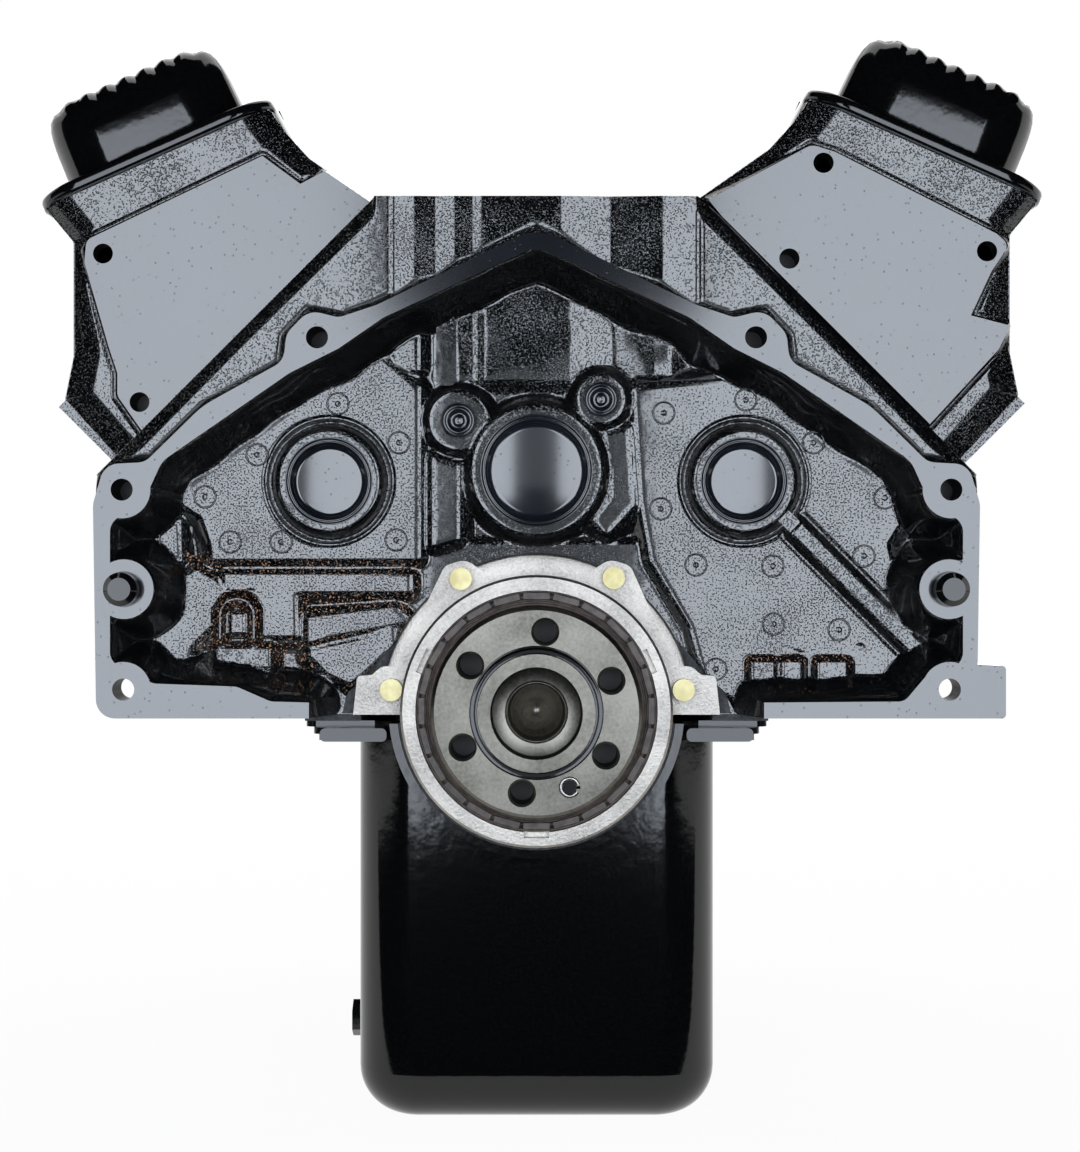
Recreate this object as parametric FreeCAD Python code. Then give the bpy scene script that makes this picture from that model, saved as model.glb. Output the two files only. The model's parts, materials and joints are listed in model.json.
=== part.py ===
import FreeCAD, Part
import math
import os

# A ninety degree V6 long block, seen from its flywheel end along +Y.
# +X is starboard, +Y runs forward, +Z is up, and the origin is the centre of the crank flange's rear face.

# Cylinders and crank train
bore_radius = 50.8
stroke = 88.4
bore_spacing = 111.76
bank_stagger = 22.4
bank_angle = 45.0
deck_height = 229.2
cylinders_per_bank = 3
rear_bore_y = 102.5
cam_height = 114.8
main_journal_radius = 31.1
main_journal_width = 24.0
pin_radius = 28.6
throw_splay = 30.0
piston_clearance = 0.08
crown_height = 39.0
piston_below_deck = 1.2
skirt_drop = 24.0
skirt_wall = 7.5
ring_depth = 4.0
wrist_pin_radius = 11.8
running_clearance = 0.05
seat_gap = 0.3

# Block casting
bell_face_y = 5.5
bell_rim_thickness = 39.5
pocket_floor_y = 38.0
block_rear_y = 28.0
block_front_y = 420.0
pan_rail_z = -3.0
skirt_half_width = 112.0
crankcase_radius = 95.0
bulkhead_thickness = 29.0
bank_rib_width = 7.0
bank_rib_foot = 118.0
deck_inner_u = -119.0
deck_outer_u = 70.0
valley_wall_u = -72.0
china_wall_z = 245.0
rear_china_wall = 30.0
front_china_wall = 20.0
cam_tunnel_radius = 26.0
cam_journal_radius = 23.7
lifter_radius = 10.65
lobe_lift = 6.8
lobe_base_radius = 16.4
lobe_width = 14.0
cam_bearing_half = 9.4
cam_nose_radius = 19.0
thrust_plate = 3.0
lifter_boss_top = 165.0
lifter_length = 50.0

# Bell housing flange
bell_bolt_radius = 5.2
bell_spot_radius = 10.0
bell_top_bolt = (103.2, 176.2)
bell_mid_bolt = (195.0, 104.6)
bell_low_bolt = (194.3, 10.6)
bell_dowel = (194.0, 57.8)
dowel_radius = 7.92
dowel_seat_radius = 8.5
dowel_relief = 0.4
dowel_reach = 12.0

# Plugs in the rear wall
core_plug_place = (100.0, 109.7)
core_plug_radius = 20.6
core_boss_radius = 25.0
core_plug_depth = 7.0
cam_plug_radius = 26.6
cam_boss_radius = 31.0
plug_wall = 1.6
boss_face_y = 30.0
panel_face_y = 33.0
seal_pad_y = 36.0
drain_rib_width = 7.0
drain_groove = 5.0

# Crank flange and nose
seal_land_radius = 49.5
flange_chamfer = 1.5
register_radius = 27.6
register_height = 5.5
converter_pilot_radius = 21.6
pilot_radius = 13.9
flange_bolt_edge = 9.9
flange_bolt_radius = 5.55
flange_bolt_depth = 22.0
snout_radius = 15.9
snout_end_y = 497.0
key_width = 4.8
case_clearance = 15.0
skirt_lap = 3.4
cheek_thickness = 16.0

# Rear seal housing
seal_section = 7.7
housing_wall = 7.3
housing_rear_y = 9.0
housing_lug = 7.5
gasket_thickness = 1.0

# Heads and covers
head_end_margin = 71.24
head_bolt_inset = 19.5
starboard_head_y = 31.5
head_gasket = 1.0
rail_tilt = 21.0
rail_inner = (-115.0, 72.3)
rail_width = 121.0
rail_wall = 8.0
rocker_well_depth = 38.0
valve_t = 80.5
stud_t = 45.0
pushrod_t = 21.0
valve_spacing = 48.0
stem_radius = 4.35
pushrod_ball = 4.2
intake_valve_radius = 24.6
exhaust_valve_radius = 19.0
spring_radius = 16.0
spring_height = 42.0
cover_flange_overhang = 3.0
cover_height = 47.0
cover_wall = 1.6
cover_flutes = 8
cover_gasket = 3.0
port_depth = 42.0

# Oil pan
pan_shelf = 25.0
sump_rear_y = 27.0
sump_front_y = 292.0
sump_depth = 200.0
shallow_depth = 100.0
pan_wall = 1.8
pan_gasket = 3.0
pan_flange_thickness = 3.0
pan_bolt_edge = 10.5
strap_lip = 6.5
rear_seal_height = 1.5
cradle_rim = 4.0

# Timing drive
crank_teeth = 18
cam_teeth = 36
chain_links = 52
sprocket_rear_y = 425.0
sprocket_width = 14.0
chain_clearance = 0.25
cover_front_y = 452.0
front_boss_radius = 40.0
cover_skin = 1.8

# Oil pump
pump_y = 62.0
pump_z = -122.0
pump_gear_radius = 17.0
pump_gear_teeth = 9
pump_gear_width = 30.0

root_two = math.sqrt(2.0)
rod_length = deck_height - stroke / 2 - crown_height - piston_below_deck
head_length = (cylinders_per_bank - 1) * bore_spacing + 2 * head_end_margin
flange_face_radius = seal_land_radius - flange_chamfer
flange_bolt_circle = flange_face_radius - flange_bolt_edge
seal_outer_radius = seal_land_radius + seal_section
housing_barrel_radius = seal_outer_radius + housing_wall
rear_cradle_radius = housing_barrel_radius + rear_seal_height
cradle_rim_radius = rear_cradle_radius + cradle_rim
crank_radius = stroke / 2
skirt_low_point = deck_height - piston_below_deck - crown_height - skirt_drop - stroke
counterweight_radius = min(crankcase_radius - case_clearance, skirt_low_point + skirt_lap)
sump_half_width = skirt_half_width - pan_shelf
pan_bolt_x = skirt_half_width - pan_bolt_edge
rail_cos = math.cos(math.radians(rail_tilt))
rail_sin = math.sin(math.radians(rail_tilt))
port_head_y = starboard_head_y + bank_stagger
head_deck = deck_height + head_gasket
sides = {"port": -1, "starboard": 1}


def vec(x, y, z):
    return FreeCAD.Vector(x, y, z)


def box(low, high):
    size = [b - a for a, b in zip(low, high)]
    return Part.makeBox(*size, vec(*low))


def rod(radius, start, end):
    """A round bar between two points."""
    along = vec(*end) - vec(*start)
    return Part.makeCylinder(radius, along.Length, vec(*start), along)


def tube(outer, inner, start, end):
    return rod(outer, start, end).cut(rod(inner, start, end))


def fuse(shapes):
    shapes = list(shapes)
    return shapes[0].multiFuse(shapes[1:]) if len(shapes) > 1 else shapes[0]


def cut(shape, tools):
    return shape.cut(Part.makeCompound(list(tools)))


def outline(points, y=0.0):
    """A closed wire in the XZ plane. Each point is x, z and an optional corner radius."""
    count = len(points)
    corners = []
    for n, point in enumerate(points):
        here = vec(point[0], y, point[1])
        before = vec(points[n - 1][0], y, points[n - 1][1]) - here
        after = vec(points[(n + 1) % count][0], y, points[(n + 1) % count][1]) - here
        radius = point[2] if len(point) > 2 else 0.0
        half = before.getAngle(after) / 2
        if radius <= 0 or half > math.radians(89):
            corners.append((here, None, here))
            continue
        reach = min(radius / math.tan(half), before.Length * 0.49, after.Length * 0.49)
        radius = reach * math.tan(half)
        before.normalize()
        after.normalize()
        middle = before + after
        middle.normalize()
        top = here + middle * (radius / math.sin(half) - radius)
        corners.append((here + before * reach, top, here + after * reach))
    edges = []
    for n, (start, top, end) in enumerate(corners):
        if top is not None:
            edges.append(Part.Arc(start, top, end).toShape())
        following = corners[(n + 1) % count][0]
        if (following - end).Length > 1e-6:
            edges.append(Part.LineSegment(end, following).toShape())
    return Part.Wire(edges)


def slab(points, rear_y, front_y):
    """An outline in the XZ plane, carried forward from one Y to another."""
    face = Part.Face(outline(points, rear_y))
    return face.extrude(vec(0, front_y - rear_y, 0))


def mirrored(half):
    """A whole outline from its starboard half, which starts and ends near the centreline."""
    other = [(-p[0],) + tuple(p[1:]) for p in reversed(half) if abs(p[0]) > 1e-9]
    return list(half) + other


def bank_point(side, u, y, v):
    """u is outwards along the deck, v is up the cylinder axis."""
    return (sides[side] * (u + v) / root_two, y, (v - u) / root_two)


def bank_y(side, y):
    """Y of a place on the port bank, which stands further forward by the stagger."""
    return y + (bank_stagger if side == "port" else 0.0)


def bore_ys(side):
    return [bank_y(side, rear_bore_y + n * bore_spacing) for n in range(cylinders_per_bank)]


def main_ys():
    first = rear_bore_y + bank_stagger / 2 - bore_spacing / 2
    return [first + n * bore_spacing for n in range(cylinders_per_bank + 1)]


def on_head(shape, side):
    """Both banks carry the same head, turned end for end."""
    if side == "starboard":
        turn = FreeCAD.Placement(vec(0, starboard_head_y, 0), FreeCAD.Rotation(vec(0, 1, 0), bank_angle))
        stand = FreeCAD.Placement(vec(0, 0, head_deck), FreeCAD.Rotation())
    else:
        foot = vec(0, port_head_y + head_length, 0)
        turn = FreeCAD.Placement(foot, FreeCAD.Rotation(vec(0, 1, 0), -bank_angle))
        stand = FreeCAD.Placement(vec(0, 0, head_deck), FreeCAD.Rotation(vec(0, 0, 1), 180))
    placed = shape.copy()
    placed.Placement = turn.multiply(stand).multiply(placed.Placement)
    return placed


def on_rail(t, y, n):
    """A point in head axes: t across the cover rail from its inner edge, n above the rail."""
    return (rail_inner[0] + t * rail_cos - n * rail_sin, y, rail_inner[1] + t * rail_sin + n * rail_cos)


def rail_frame(shape):
    """Moves a shape drawn with x across the rail and z above it into head axes."""
    placed = shape.copy()
    turn = FreeCAD.Rotation(vec(0, 1, 0), -rail_tilt)
    placed.Placement = FreeCAD.Placement(vec(rail_inner[0], 0, rail_inner[1]), turn).multiply(placed.Placement)
    return placed


def valve_places():
    """Each valve's y in head axes and its kind, along the head."""
    kinds = ["exhaust", "intake", "intake", "exhaust", "exhaust", "intake"]
    middle = head_length / 2
    places = []
    for n in range(cylinders_per_bank):
        centre = middle + (n - 1) * bore_spacing
        for k, step in enumerate((-0.5, 0.5)):
            places.append((centre + step * valve_spacing, kinds[2 * n + k]))
    return places


def valve_y(side, local_y):
    if side == "starboard":
        return starboard_head_y + local_y
    return port_head_y + head_length - local_y


# Engine block

bell_half = [
    (0, 228, 22), (75, 191.5, 24), (93, 185.5, 8), (107, 189, 10), (117.5, 178, 9), (119, 165, 9),
    (157, 144, 40), (184, 117.5, 9), (203, 116.5, 9), (208.5, 98, 12), (207, pan_rail_z, 9),
]
starter_ear = [(190, pan_rail_z), (220.7, pan_rail_z, 2), (220.7, 21.7, 2), (206, 22.5), (190, 30)]
pocket_top = [
    (0, 219, 16), (72, 185.5, 12), (93, 171, 12), (116, 159.5, 18), (176, 118, 14), (186, 96, 8),
    (200.5, 90, 8), (200.5, 22, 8),
]
pocket_foot = [
    (184, 18, 8), (173, 5, 6), (107, 4.5), (107, -20), (-107, -20), (-107, 4.5), (-125, 5, 8), (-141, 12, 8),
    (-182, 13.5, 8), (-188, 20.5, 6),
]
port_panel = [
    (-172, 101, 3), (-161, 94, 10), (-155.5, 73.2, 5), (-58, 73.4, 2), (-58, 154.5, 3), (-76.3, 170, 4),
    (-93, 158.5, 12),
]
starboard_panel = [
    (48.6, 153.5, 2), (90, 157.5, 4), (115.4, 145, 12), (180, 99, 5), (168, 80, 14), (172, 62, 8),
    (190, 32, 6), (176, 9, 5), (166, 20, 8), (158, 33, 10), (134, 27, 6), (112, 34, 10), (96, 6, 4), (84, 10, 3),
    (76, 40, 20), (57, 72, 5), (52, 100, 6),
]
wall_pads = [
    [(-198, 88, 6), (-175, 90, 6), (-174, 72, 4), (-190, 70, 4)],
    [(-187, 41, 6), (-175, 59, 8), (-164, 65, 6), (-152, 55, 5), (-168, 31, 6), (-172, 20, 4), (-187, 26, 5)],
    [(-134, 63, 3), (-62, 63, 3), (-62, 57.5, 3), (-118, 57.5, 3), (-117.5, 36, 4), (-134, 36, 4)],
    [(-109, 42, 3), (-68.5, 47, 3), (-63.6, 42.7, 3), (-100, 36, 3), (-109, 33, 3)],
    [(-108, 26, 3), (-85, 31, 3), (-70, 37, 3), (-68.5, 31, 3), (-78, 23, 3), (-90, 13, 3), (-100, 17.6, 3)],
    [(-69, 176, 3), (-58.2, 179, 3), (-58.2, 165, 3), (-66, 167, 3)],
    [(-48.5, 156, 3), (-48.5, 184, 4), (-43.3, 191.5, 2), (-39, 188, 2), (-39, 156, 3)],
    [(-49, 120, 2), (-39, 116, 2), (-39, 83, 3), (-49, 80, 3)],
    [(-28.5, 191, 1.4), (-25.4, 191, 1.4), (-25.4, 156, 1.4), (-28.5, 156, 1.4)],
    [(34.5, 131.7, 2), (43.5, 134, 3), (46, 99.3, 4), (34, 86, 3), (30, 91, 3), (37.6, 101, 4), (37.6, 115.4, 3)],
]
raised_pads = [
    [(-147.5, 37), (-147.5, 44, 3.5), (-140.4, 44, 3.5), (-140.4, 37)],
    [(-153.8, 28.5, 1), (-128.7, 28.5, 1), (-128.7, 20, 1), (-153.8, 20, 1)],
    [(104, 22, 2), (114, 22, 2), (114, 12, 2), (104, 12, 2)],
    [(119, 22, 2), (127, 22, 2), (127, 12, 2), (119, 12, 2)],
    [(136, 22, 2), (149, 22, 2), (149, 12, 2), (136, 12, 2)],
]


def block_section():
    """Half the block's cross-section, from the pan rail round to the centreline."""
    deck_outer = bank_point("starboard", deck_outer_u, 0, deck_height)
    shoulder = bank_point("starboard", deck_outer_u, 0, deck_height - 14)
    deck_inner = bank_point("starboard", deck_inner_u, 0, deck_height)
    return [
        (0, china_wall_z), (deck_inner[0], china_wall_z), (deck_inner[0], deck_inner[2]),
        (deck_outer[0], deck_outer[2]), (shoulder[0], shoulder[2], 3), (146, 54, 20),
        (skirt_half_width, 36, 12), (skirt_half_width, pan_rail_z), (0, pan_rail_z),
    ]


def valley_section():
    wall_u = deck_inner_u + 22
    floor_z = cam_height + cam_tunnel_radius + 9
    lip = bank_point("starboard", valley_wall_u, 0, deck_height + 80)
    wall = bank_point("starboard", valley_wall_u, 0, lifter_boss_top)
    shelf = bank_point("starboard", wall_u, 0, lifter_boss_top)
    foot_x = floor_z + wall_u * root_two
    return [
        (0, lip[2]), (lip[0], lip[2]), (wall[0], wall[2], 3), (shelf[0], shelf[2], 3), (foot_x, floor_z),
        (0, floor_z),
    ]


def bell_housing_flange():
    flange = slab(mirrored(bell_half), bell_face_y, bell_face_y + bell_rim_thickness)
    ear = slab(starter_ear, bell_face_y, bell_face_y + 16)
    return flange.fuse(ear)


def bell_pocket():
    port_top = [(-p[0],) + p[1:] for p in reversed(pocket_top[1:])]
    pocket = slab(pocket_top + pocket_foot + port_top, -20, pocket_floor_y)
    keep = []
    for side in (-1, 1):
        for (x, z), radius in ((bell_dowel, 14.0), (bell_mid_bolt, 13.5), (bell_low_bolt, 13.0)):
            keep.append(rod(radius, (side * x, -30, z), (side * x, 60, z)))
        edge = (side * bell_dowel[0], side * 240)
        keep.append(box((min(edge), -30, bell_dowel[1] - 9), (max(edge), 60, bell_dowel[1] + 9)))
    return cut(pocket, keep)


def rear_wall_relief():
    """What stands up from the floor of the bell pocket."""
    panels = [port_panel, starboard_panel] + wall_pads
    raised = [slab(panel, panel_face_y, pocket_floor_y + 1) for panel in panels]
    grooves = [slab(drain_rib(drain_groove), 0, pocket_floor_y)]
    bosses = [slab(pad, boss_face_y, pocket_floor_y + 1) for pad in raised_pads]
    for side in (-1, 1):
        x, z = side * core_plug_place[0], core_plug_place[1]
        grooves.append(rod(core_boss_radius + 5.5, (x, 0, z), (x, pocket_floor_y, z)))
        bosses.append(rod(core_boss_radius, (x, boss_face_y, z), (x, pocket_floor_y + 1, z)))
    bosses.append(rod(cam_boss_radius, (0, boss_face_y, cam_height), (0, pocket_floor_y + 1, cam_height)))
    for x, z, radius in gallery_places():
        bosses.append(rod(radius, (x, boss_face_y + 2, z), (x, pocket_floor_y + 1, z)))
    bosses.append(slab(drain_rib(0), boss_face_y, pocket_floor_y + 1))
    clear = slab(seal_pad_outline(3.0), 0, seal_pad_y)
    return cut(fuse(raised), grooves + [clear]).multiFuse(bosses)


def drain_rib(grow):
    """The slanting rib from the starboard core boss down to the rim."""
    across = (grow + drain_rib_width / 2) / root_two
    high = (core_plug_place[0] + 16.5, core_plug_place[1] - 14.2)
    low = (high[0] + 70, high[1] - 70)
    return [
        (high[0] - across, high[1] - across), (high[0] + across, high[1] + across),
        (low[0] + across, low[1] + across), (low[0] - across, low[1] - across),
    ]


def gallery_places():
    """The two oil gallery plugs beside the cam plug: x, z and boss radius."""
    return [(-37.6, 139.0, 14.2), (31.2, 149.2, 11.5)]


def seal_pad_outline(grow):
    """The pad round the crank, with two ears down at the pan rail."""
    foot = pan_rail_z - grow / 2
    top = housing_barrel_radius + 14.5 + grow
    half = [(0, top), (49 + grow, top, 30), (91 + grow, 22 + grow, 4), (97 + grow, foot)]
    return mirrored(half)


def seal_pad():
    """The machined pad that the rear seal housing is screwed to."""
    return slab(seal_pad_outline(0), seal_pad_y, pocket_floor_y + 1)


def upright(points, low_z, high_z):
    """A plan outline of x, y points, carried up from one height to another."""
    corners = [vec(x, y, low_z) for x, y in points]
    return Part.Face(Part.makePolygon(corners + corners[:1])).extrude(vec(0, 0, high_z - low_z))


def rear_wall_flutes():
    """Cast flutes down the rear end wall of the valley, above the bell flange."""
    front = block_rear_y - 8
    flutes = []
    for plan in (
        [(-73.5, front), (-72, 33), (-69, 33), (-67, front)],
        [(-60, front), (-57, 32), (-50, 32), (-47, front)],
        [(-40, front), (-37, 32), (-32.5, 32), (-30, front)],
        [(-26, front), (-24, block_rear_y), (-5, 34), (12, block_rear_y), (14, front)],
        [(34, front), (41, 33), (54, 33), (58, front)],
        [(74.5, front), (76, 33), (80, 33), (82, front)],
    ):
        flutes.append(upright(plan, 130, china_wall_z + 1))
    return flutes


def bank_rib(side, y):
    """A cast rib down the bank's outer wall, at a bulkhead."""
    corners = [
        (deck_outer_u - 20, bank_rib_foot), (deck_outer_u + 1, bank_rib_foot + 20),
        (deck_outer_u + 1, deck_height - 16), (deck_outer_u - 20, deck_height - 16),
    ]
    points = [bank_point(side, u, y, v) for u, v in corners]
    return slab([(p[0], p[2]) for p in points], y - bank_rib_width / 2, y + bank_rib_width / 2)


def bank_pads():
    """Core plug bosses and the outer wall's cast ribs on both banks."""
    pads = [bank_rib(side, y) for side in sides for y in main_ys()[1:]]
    for side in sides:
        for y in side_plug_ys(side):
            start = bank_point(side, deck_outer_u - 22, y, 168)
            end = bank_point(side, deck_outer_u + 2, y, 168)
            pads.append(rod(core_boss_radius, start, end))
    return pads


def side_plug_ys(side):
    ys = bore_ys(side)
    return [(a + b) / 2 for a, b in zip(ys, ys[1:])]


def engine_mount_places():
    """y and z of the three mount screws on each side of the skirt."""
    return [(246.0, 20.0), (312.0, 20.0), (279.0, 58.0)]


def pump_pad_places(side):
    """x and z of a coolant port and of its two screws on the front face."""
    x = sides[side] * 124.0
    return (x, 128.0), [(x - sides[side] * 22, 152.0), (x + sides[side] * 26, 104.0)]


def side_mounts():
    bosses = []
    for side in (-1, 1):
        for y, z in engine_mount_places():
            inner, outer = side * (skirt_half_width - 24), side * (skirt_half_width + 16)
            bosses.append(rod(12, (inner, y, z), (outer, y, z)))
    inner = skirt_half_width - 12
    starter_pad = box((inner, 18, pan_rail_z), (skirt_half_width + 56, 88, 24))
    filter_x = -skirt_half_width - 16
    filter_pad = rod(43, (filter_x, 82, pan_rail_z), (filter_x, 82, 26))
    fuel_pump_pad = box((inner, block_front_y - 68, 12), (skirt_half_width + 14, block_front_y - 8, 62))
    return bosses + [starter_pad, filter_pad, fuel_pump_pad]


def front_face_pads():
    pads = []
    for side in sides:
        (x, z), screws = pump_pad_places(side)
        pads.append(rod(24, (x, block_front_y - 20, z), (x, block_front_y + 6, z)))
        for sx, sz in screws:
            pads.append(rod(9.5, (sx, block_front_y - 20, sz), (sx, block_front_y + 6, sz)))
    return pads


def crankcase_cavities():
    mains = main_ys()
    cavities = []
    for rear, front in zip(mains, mains[1:]):
        y0, y1 = rear + bulkhead_thickness / 2, front - bulkhead_thickness / 2
        cavities.append(rod(crankcase_radius, (0, y0, 0), (0, y1, 0)))
    return cavities


def block_holes():
    holes = []
    for side in sides:
        for y in bore_ys(side):
            holes.append(rod(bore_radius, bank_point(side, 0, y, 60), bank_point(side, 0, y, deck_height + 20)))
        for local_y, _ in valve_places():
            y = valve_y(side, local_y)
            u = -cam_height / root_two
            start = bank_point(side, u, y, cam_height / root_two + 4)
            end = bank_point(side, u, y, lifter_boss_top + 20)
            holes.append(rod(lifter_radius + running_clearance, start, end))
        for y in side_plug_ys(side):
            start = bank_point(side, deck_outer_u + 2 - core_plug_depth, y, 168)
            holes.append(rod(core_plug_radius, start, bank_point(side, deck_outer_u + 10, y, 168)))
        (x, z), screws = pump_pad_places(side)
        holes.append(rod(19, (x, block_front_y - 12, z), (x, block_front_y + 10, z)))
        for sx, sz in screws:
            holes.append(rod(4.2, (sx, block_front_y - 18, sz), (sx, block_front_y + 10, sz)))
    for side in (-1, 1):
        for x, z in (bell_top_bolt, bell_mid_bolt, bell_low_bolt):
            holes.append(rod(bell_bolt_radius, (side * x, 0, z), (side * x, bell_face_y + 24, z)))
        x, z = bell_low_bolt
        holes.append(rod(bell_spot_radius, (side * x, bell_face_y + 22, z), (side * x, 70, z)))
        x, z = bell_dowel
        holes.append(rod(dowel_seat_radius, (side * x, 0, z), (side * x, bell_face_y + 16, z)))
        x, z = side * core_plug_place[0], core_plug_place[1]
        holes.append(rod(core_plug_radius, (x, 0, z), (x, boss_face_y + core_plug_depth, z)))
        for y, z in engine_mount_places():
            holes.append(rod(4.2, (side * 108, y, z), (side * 140, y, z)))
        for y in pan_bolt_ys():
            holes.append(rod(3.3, (side * pan_bolt_x, y, -10), (side * pan_bolt_x, y, 12)))
    holes.append(rod(cam_tunnel_radius, (0, boss_face_y + 8, cam_height), (0, block_front_y + 5, cam_height)))
    holes.append(rod(cam_plug_radius, (0, 0, cam_height), (0, boss_face_y + 8, cam_height)))
    holes.append(rod(main_journal_radius + 2.4, (0, 0, 0), (0, block_front_y + 5, 0)))
    for x, z, _ in gallery_places():
        holes.append(rod(8.0, (x, 0, z), (x, boss_face_y + 12, z)))
    for x, z in housing_screw_places():
        holes.append(rod(3.3, (x, 0, z), (x, seal_pad_y + 14, z)))
    for y in (32.0, 70.0):
        holes.append(rod(4.2, (skirt_half_width + 30, y, -10), (skirt_half_width + 30, y, 20)))
    filter_x = -skirt_half_width - 16
    holes.append(rod(30, (filter_x, 82, -10), (filter_x, 82, 10)))
    holes.append(rod(9.5, (filter_x, 82, -10), (filter_x, 82, 22)))
    for y in (block_front_y - 56, block_front_y - 20):
        holes.append(rod(4.2, (skirt_half_width, y, 37), (skirt_half_width + 28, y, 37)))
    mid_y = block_front_y - 38
    holes.append(rod(9, (skirt_half_width - 6, mid_y, 37), (skirt_half_width + 28, mid_y, 37)))
    return holes


def main_cap_slots():
    """The saddle under each main journal, where the cap seats."""
    slots = []
    for y in main_ys():
        half = bulkhead_thickness / 2 + 1
        slots.append(box((-62, y - half, pan_rail_z - 5), (62, y + half, 0)))
    return slots


def engine_block():
    body = slab(mirrored(block_section()), block_rear_y, block_front_y)
    body = cut(body, rear_wall_flutes())
    body = body.multiFuse([bell_housing_flange()] + bank_pads() + side_mounts() + front_face_pads())
    valley = slab(mirrored(valley_section()), block_rear_y + rear_china_wall, block_front_y - front_china_wall)
    body = cut(body, [bell_pocket(), valley])
    body = body.multiFuse([rear_wall_relief(), seal_pad()])
    body = cut(body, crankcase_cavities() + main_cap_slots())
    body = cut(body, block_holes())
    return body.removeSplitter()


# Crankcase pieces

def main_bearing_caps():
    caps = []
    for n, y in enumerate(main_ys()):
        half = bulkhead_thickness / 2 - 0.5
        profile = [(-60, 0), (60, 0), (60, -30, 8), (40, -52, 14), (-40, -52, 14), (-60, -30, 8)]
        cap = slab(profile, y - half, y + half)
        cap = cap.cut(rod(main_journal_radius + 2.4, (0, y - 40, 0), (0, y + 40, 0)))
        holes = [rod(5.6, (x, y, -60), (x, y, 5)) for x in (-45, 45)]
        seats = [rod(11, (x, y, -60), (x, y, -34)) for x in (-45, 45)]
        caps.append(cut(cap, holes + seats))
    return Part.makeCompound(caps)


def main_cap_bolts():
    bolts = []
    for y in main_ys():
        for x in (-45, 45):
            head = hexagon(9.5, (x, y, -44), (x, y, -34 - 0.01))
            shank = rod(5.4, (x, y, -35), (x, y, 0))
            bolts.append(head.fuse(shank))
    return Part.makeCompound(bolts)


def hexagon(radius, start, end):
    """A hexagonal bar; radius is to its corners."""
    along = vec(*end) - vec(*start)
    turns = [math.radians(60 * k) for k in range(7)]
    ring = [vec(radius * math.cos(a), radius * math.sin(a), 0) for a in turns]
    bar = Part.Face(Part.makePolygon(ring)).extrude(vec(0, 0, along.Length))
    bar.Placement = FreeCAD.Placement(vec(*start), FreeCAD.Rotation(vec(0, 0, 1), along))
    return bar


def main_bearings():
    shells = []
    outer, inner = main_journal_radius + 2.35, main_journal_radius + running_clearance
    for y in main_ys():
        shell = tube(outer, inner, (0, y - 10.5, 0), (0, y + 10.5, 0))
        for low, high in ((0.1, 60), (-60, -0.1)):
            shells.append(shell.common(box((-60, y - 20, low), (60, y + 20, high))))
    return Part.makeCompound(shells)


def cam_bearings():
    outer, inner = cam_tunnel_radius - 0.02, cam_journal_radius + running_clearance
    return Part.makeCompound([
        tube(outer, inner, (0, y - cam_bearing_half, cam_height), (0, y + cam_bearing_half, cam_height))
        for y in main_ys()
    ])


def cup_plug(radius, face, axis):
    """A pressed steel cup, open towards the outside. axis points out of the hole."""
    out = vec(*axis)
    start = vec(*face) - out * core_plug_depth
    cup = Part.makeCylinder(radius, core_plug_depth - 1.0, start, out)
    hollow = Part.makeCylinder(radius - plug_wall, core_plug_depth, start + out * plug_wall, out)
    return cup.cut(hollow)


def rear_core_plugs():
    plugs = []
    for side in (-1, 1):
        face = (side * core_plug_place[0], boss_face_y, core_plug_place[1])
        plugs.append(cup_plug(core_plug_radius - 0.02, face, (0, -1, 0)))
    return plugs


def side_core_plugs():
    plugs = []
    for side in sides:
        for y in side_plug_ys(side):
            face = bank_point(side, deck_outer_u + 2, y, 168)
            plugs.append(cup_plug(core_plug_radius - 0.02, face, bank_point(side, 1, 0, 0)))
    return plugs


def cam_rear_plug():
    return cup_plug(cam_plug_radius - 0.02, (0, boss_face_y, cam_height), (0, -1, 0))


def gallery_plugs():
    plugs = []
    for x, z, _ in gallery_places():
        plug = rod(7.95, (x, boss_face_y + 4, z), (x, boss_face_y + 12, z))
        plugs.append(plug.cut(hexagon(4.6, (x, boss_face_y, z), (x, boss_face_y + 9, z))))
    return Part.makeCompound(plugs)


def bellhousing_dowels():
    pins = []
    z = bell_dowel[1]
    rear = bell_face_y - dowel_reach
    neck_y = bell_face_y - dowel_relief
    for x in (-bell_dowel[0], bell_dowel[0]):
        nose = rod(dowel_radius, (x, rear, z), (x, neck_y, z))
        tip = min(nose.Edges, key=lambda e: e.CenterOfMass.y if len(e.Vertexes) == 1 else 1e9)
        nose = nose.makeChamfer(2.6, [tip])
        neck = rod(dowel_radius - 0.4, (x, neck_y - 1, z), (x, bell_face_y + 1, z))
        shank = rod(dowel_seat_radius - 0.02, (x, bell_face_y, z), (x, bell_face_y + 15.9, z))
        pins.append(fuse([nose, neck, shank]))
    return Part.makeCompound(pins)


# Rear seal housing

def housing_screw_places():
    places = []
    for turn, out in ((120.0, 7.8), (59.7, 8.5), (172.2, 5.6), (7.7, 6.4)):
        angle, reach = math.radians(turn), housing_barrel_radius + out
        places.append((reach * math.cos(angle), reach * math.sin(angle)))
    return places


def housing_outline():
    """The housing's flat foot: a ring with four lugs and two square ears at the pan rail."""
    return [
        (-88, pan_rail_z + 0.5), (-86, 16, 2), (-79, 16.5, 2), (-74, 21, 6), (-66, 20, 5), (-58, 40, 20),
        (-44, 69, 6), (-34, 72, 8), (-24, 65, 10), (0, 72, 70), (24, 65, 10), (35, 72, 8), (45, 69, 6),
        (58, 40, 20), (66, 20, 5), (74, 21, 6), (79, 16.5, 2), (86, 16, 2), (88, pan_rail_z + 0.5),
    ]


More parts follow.
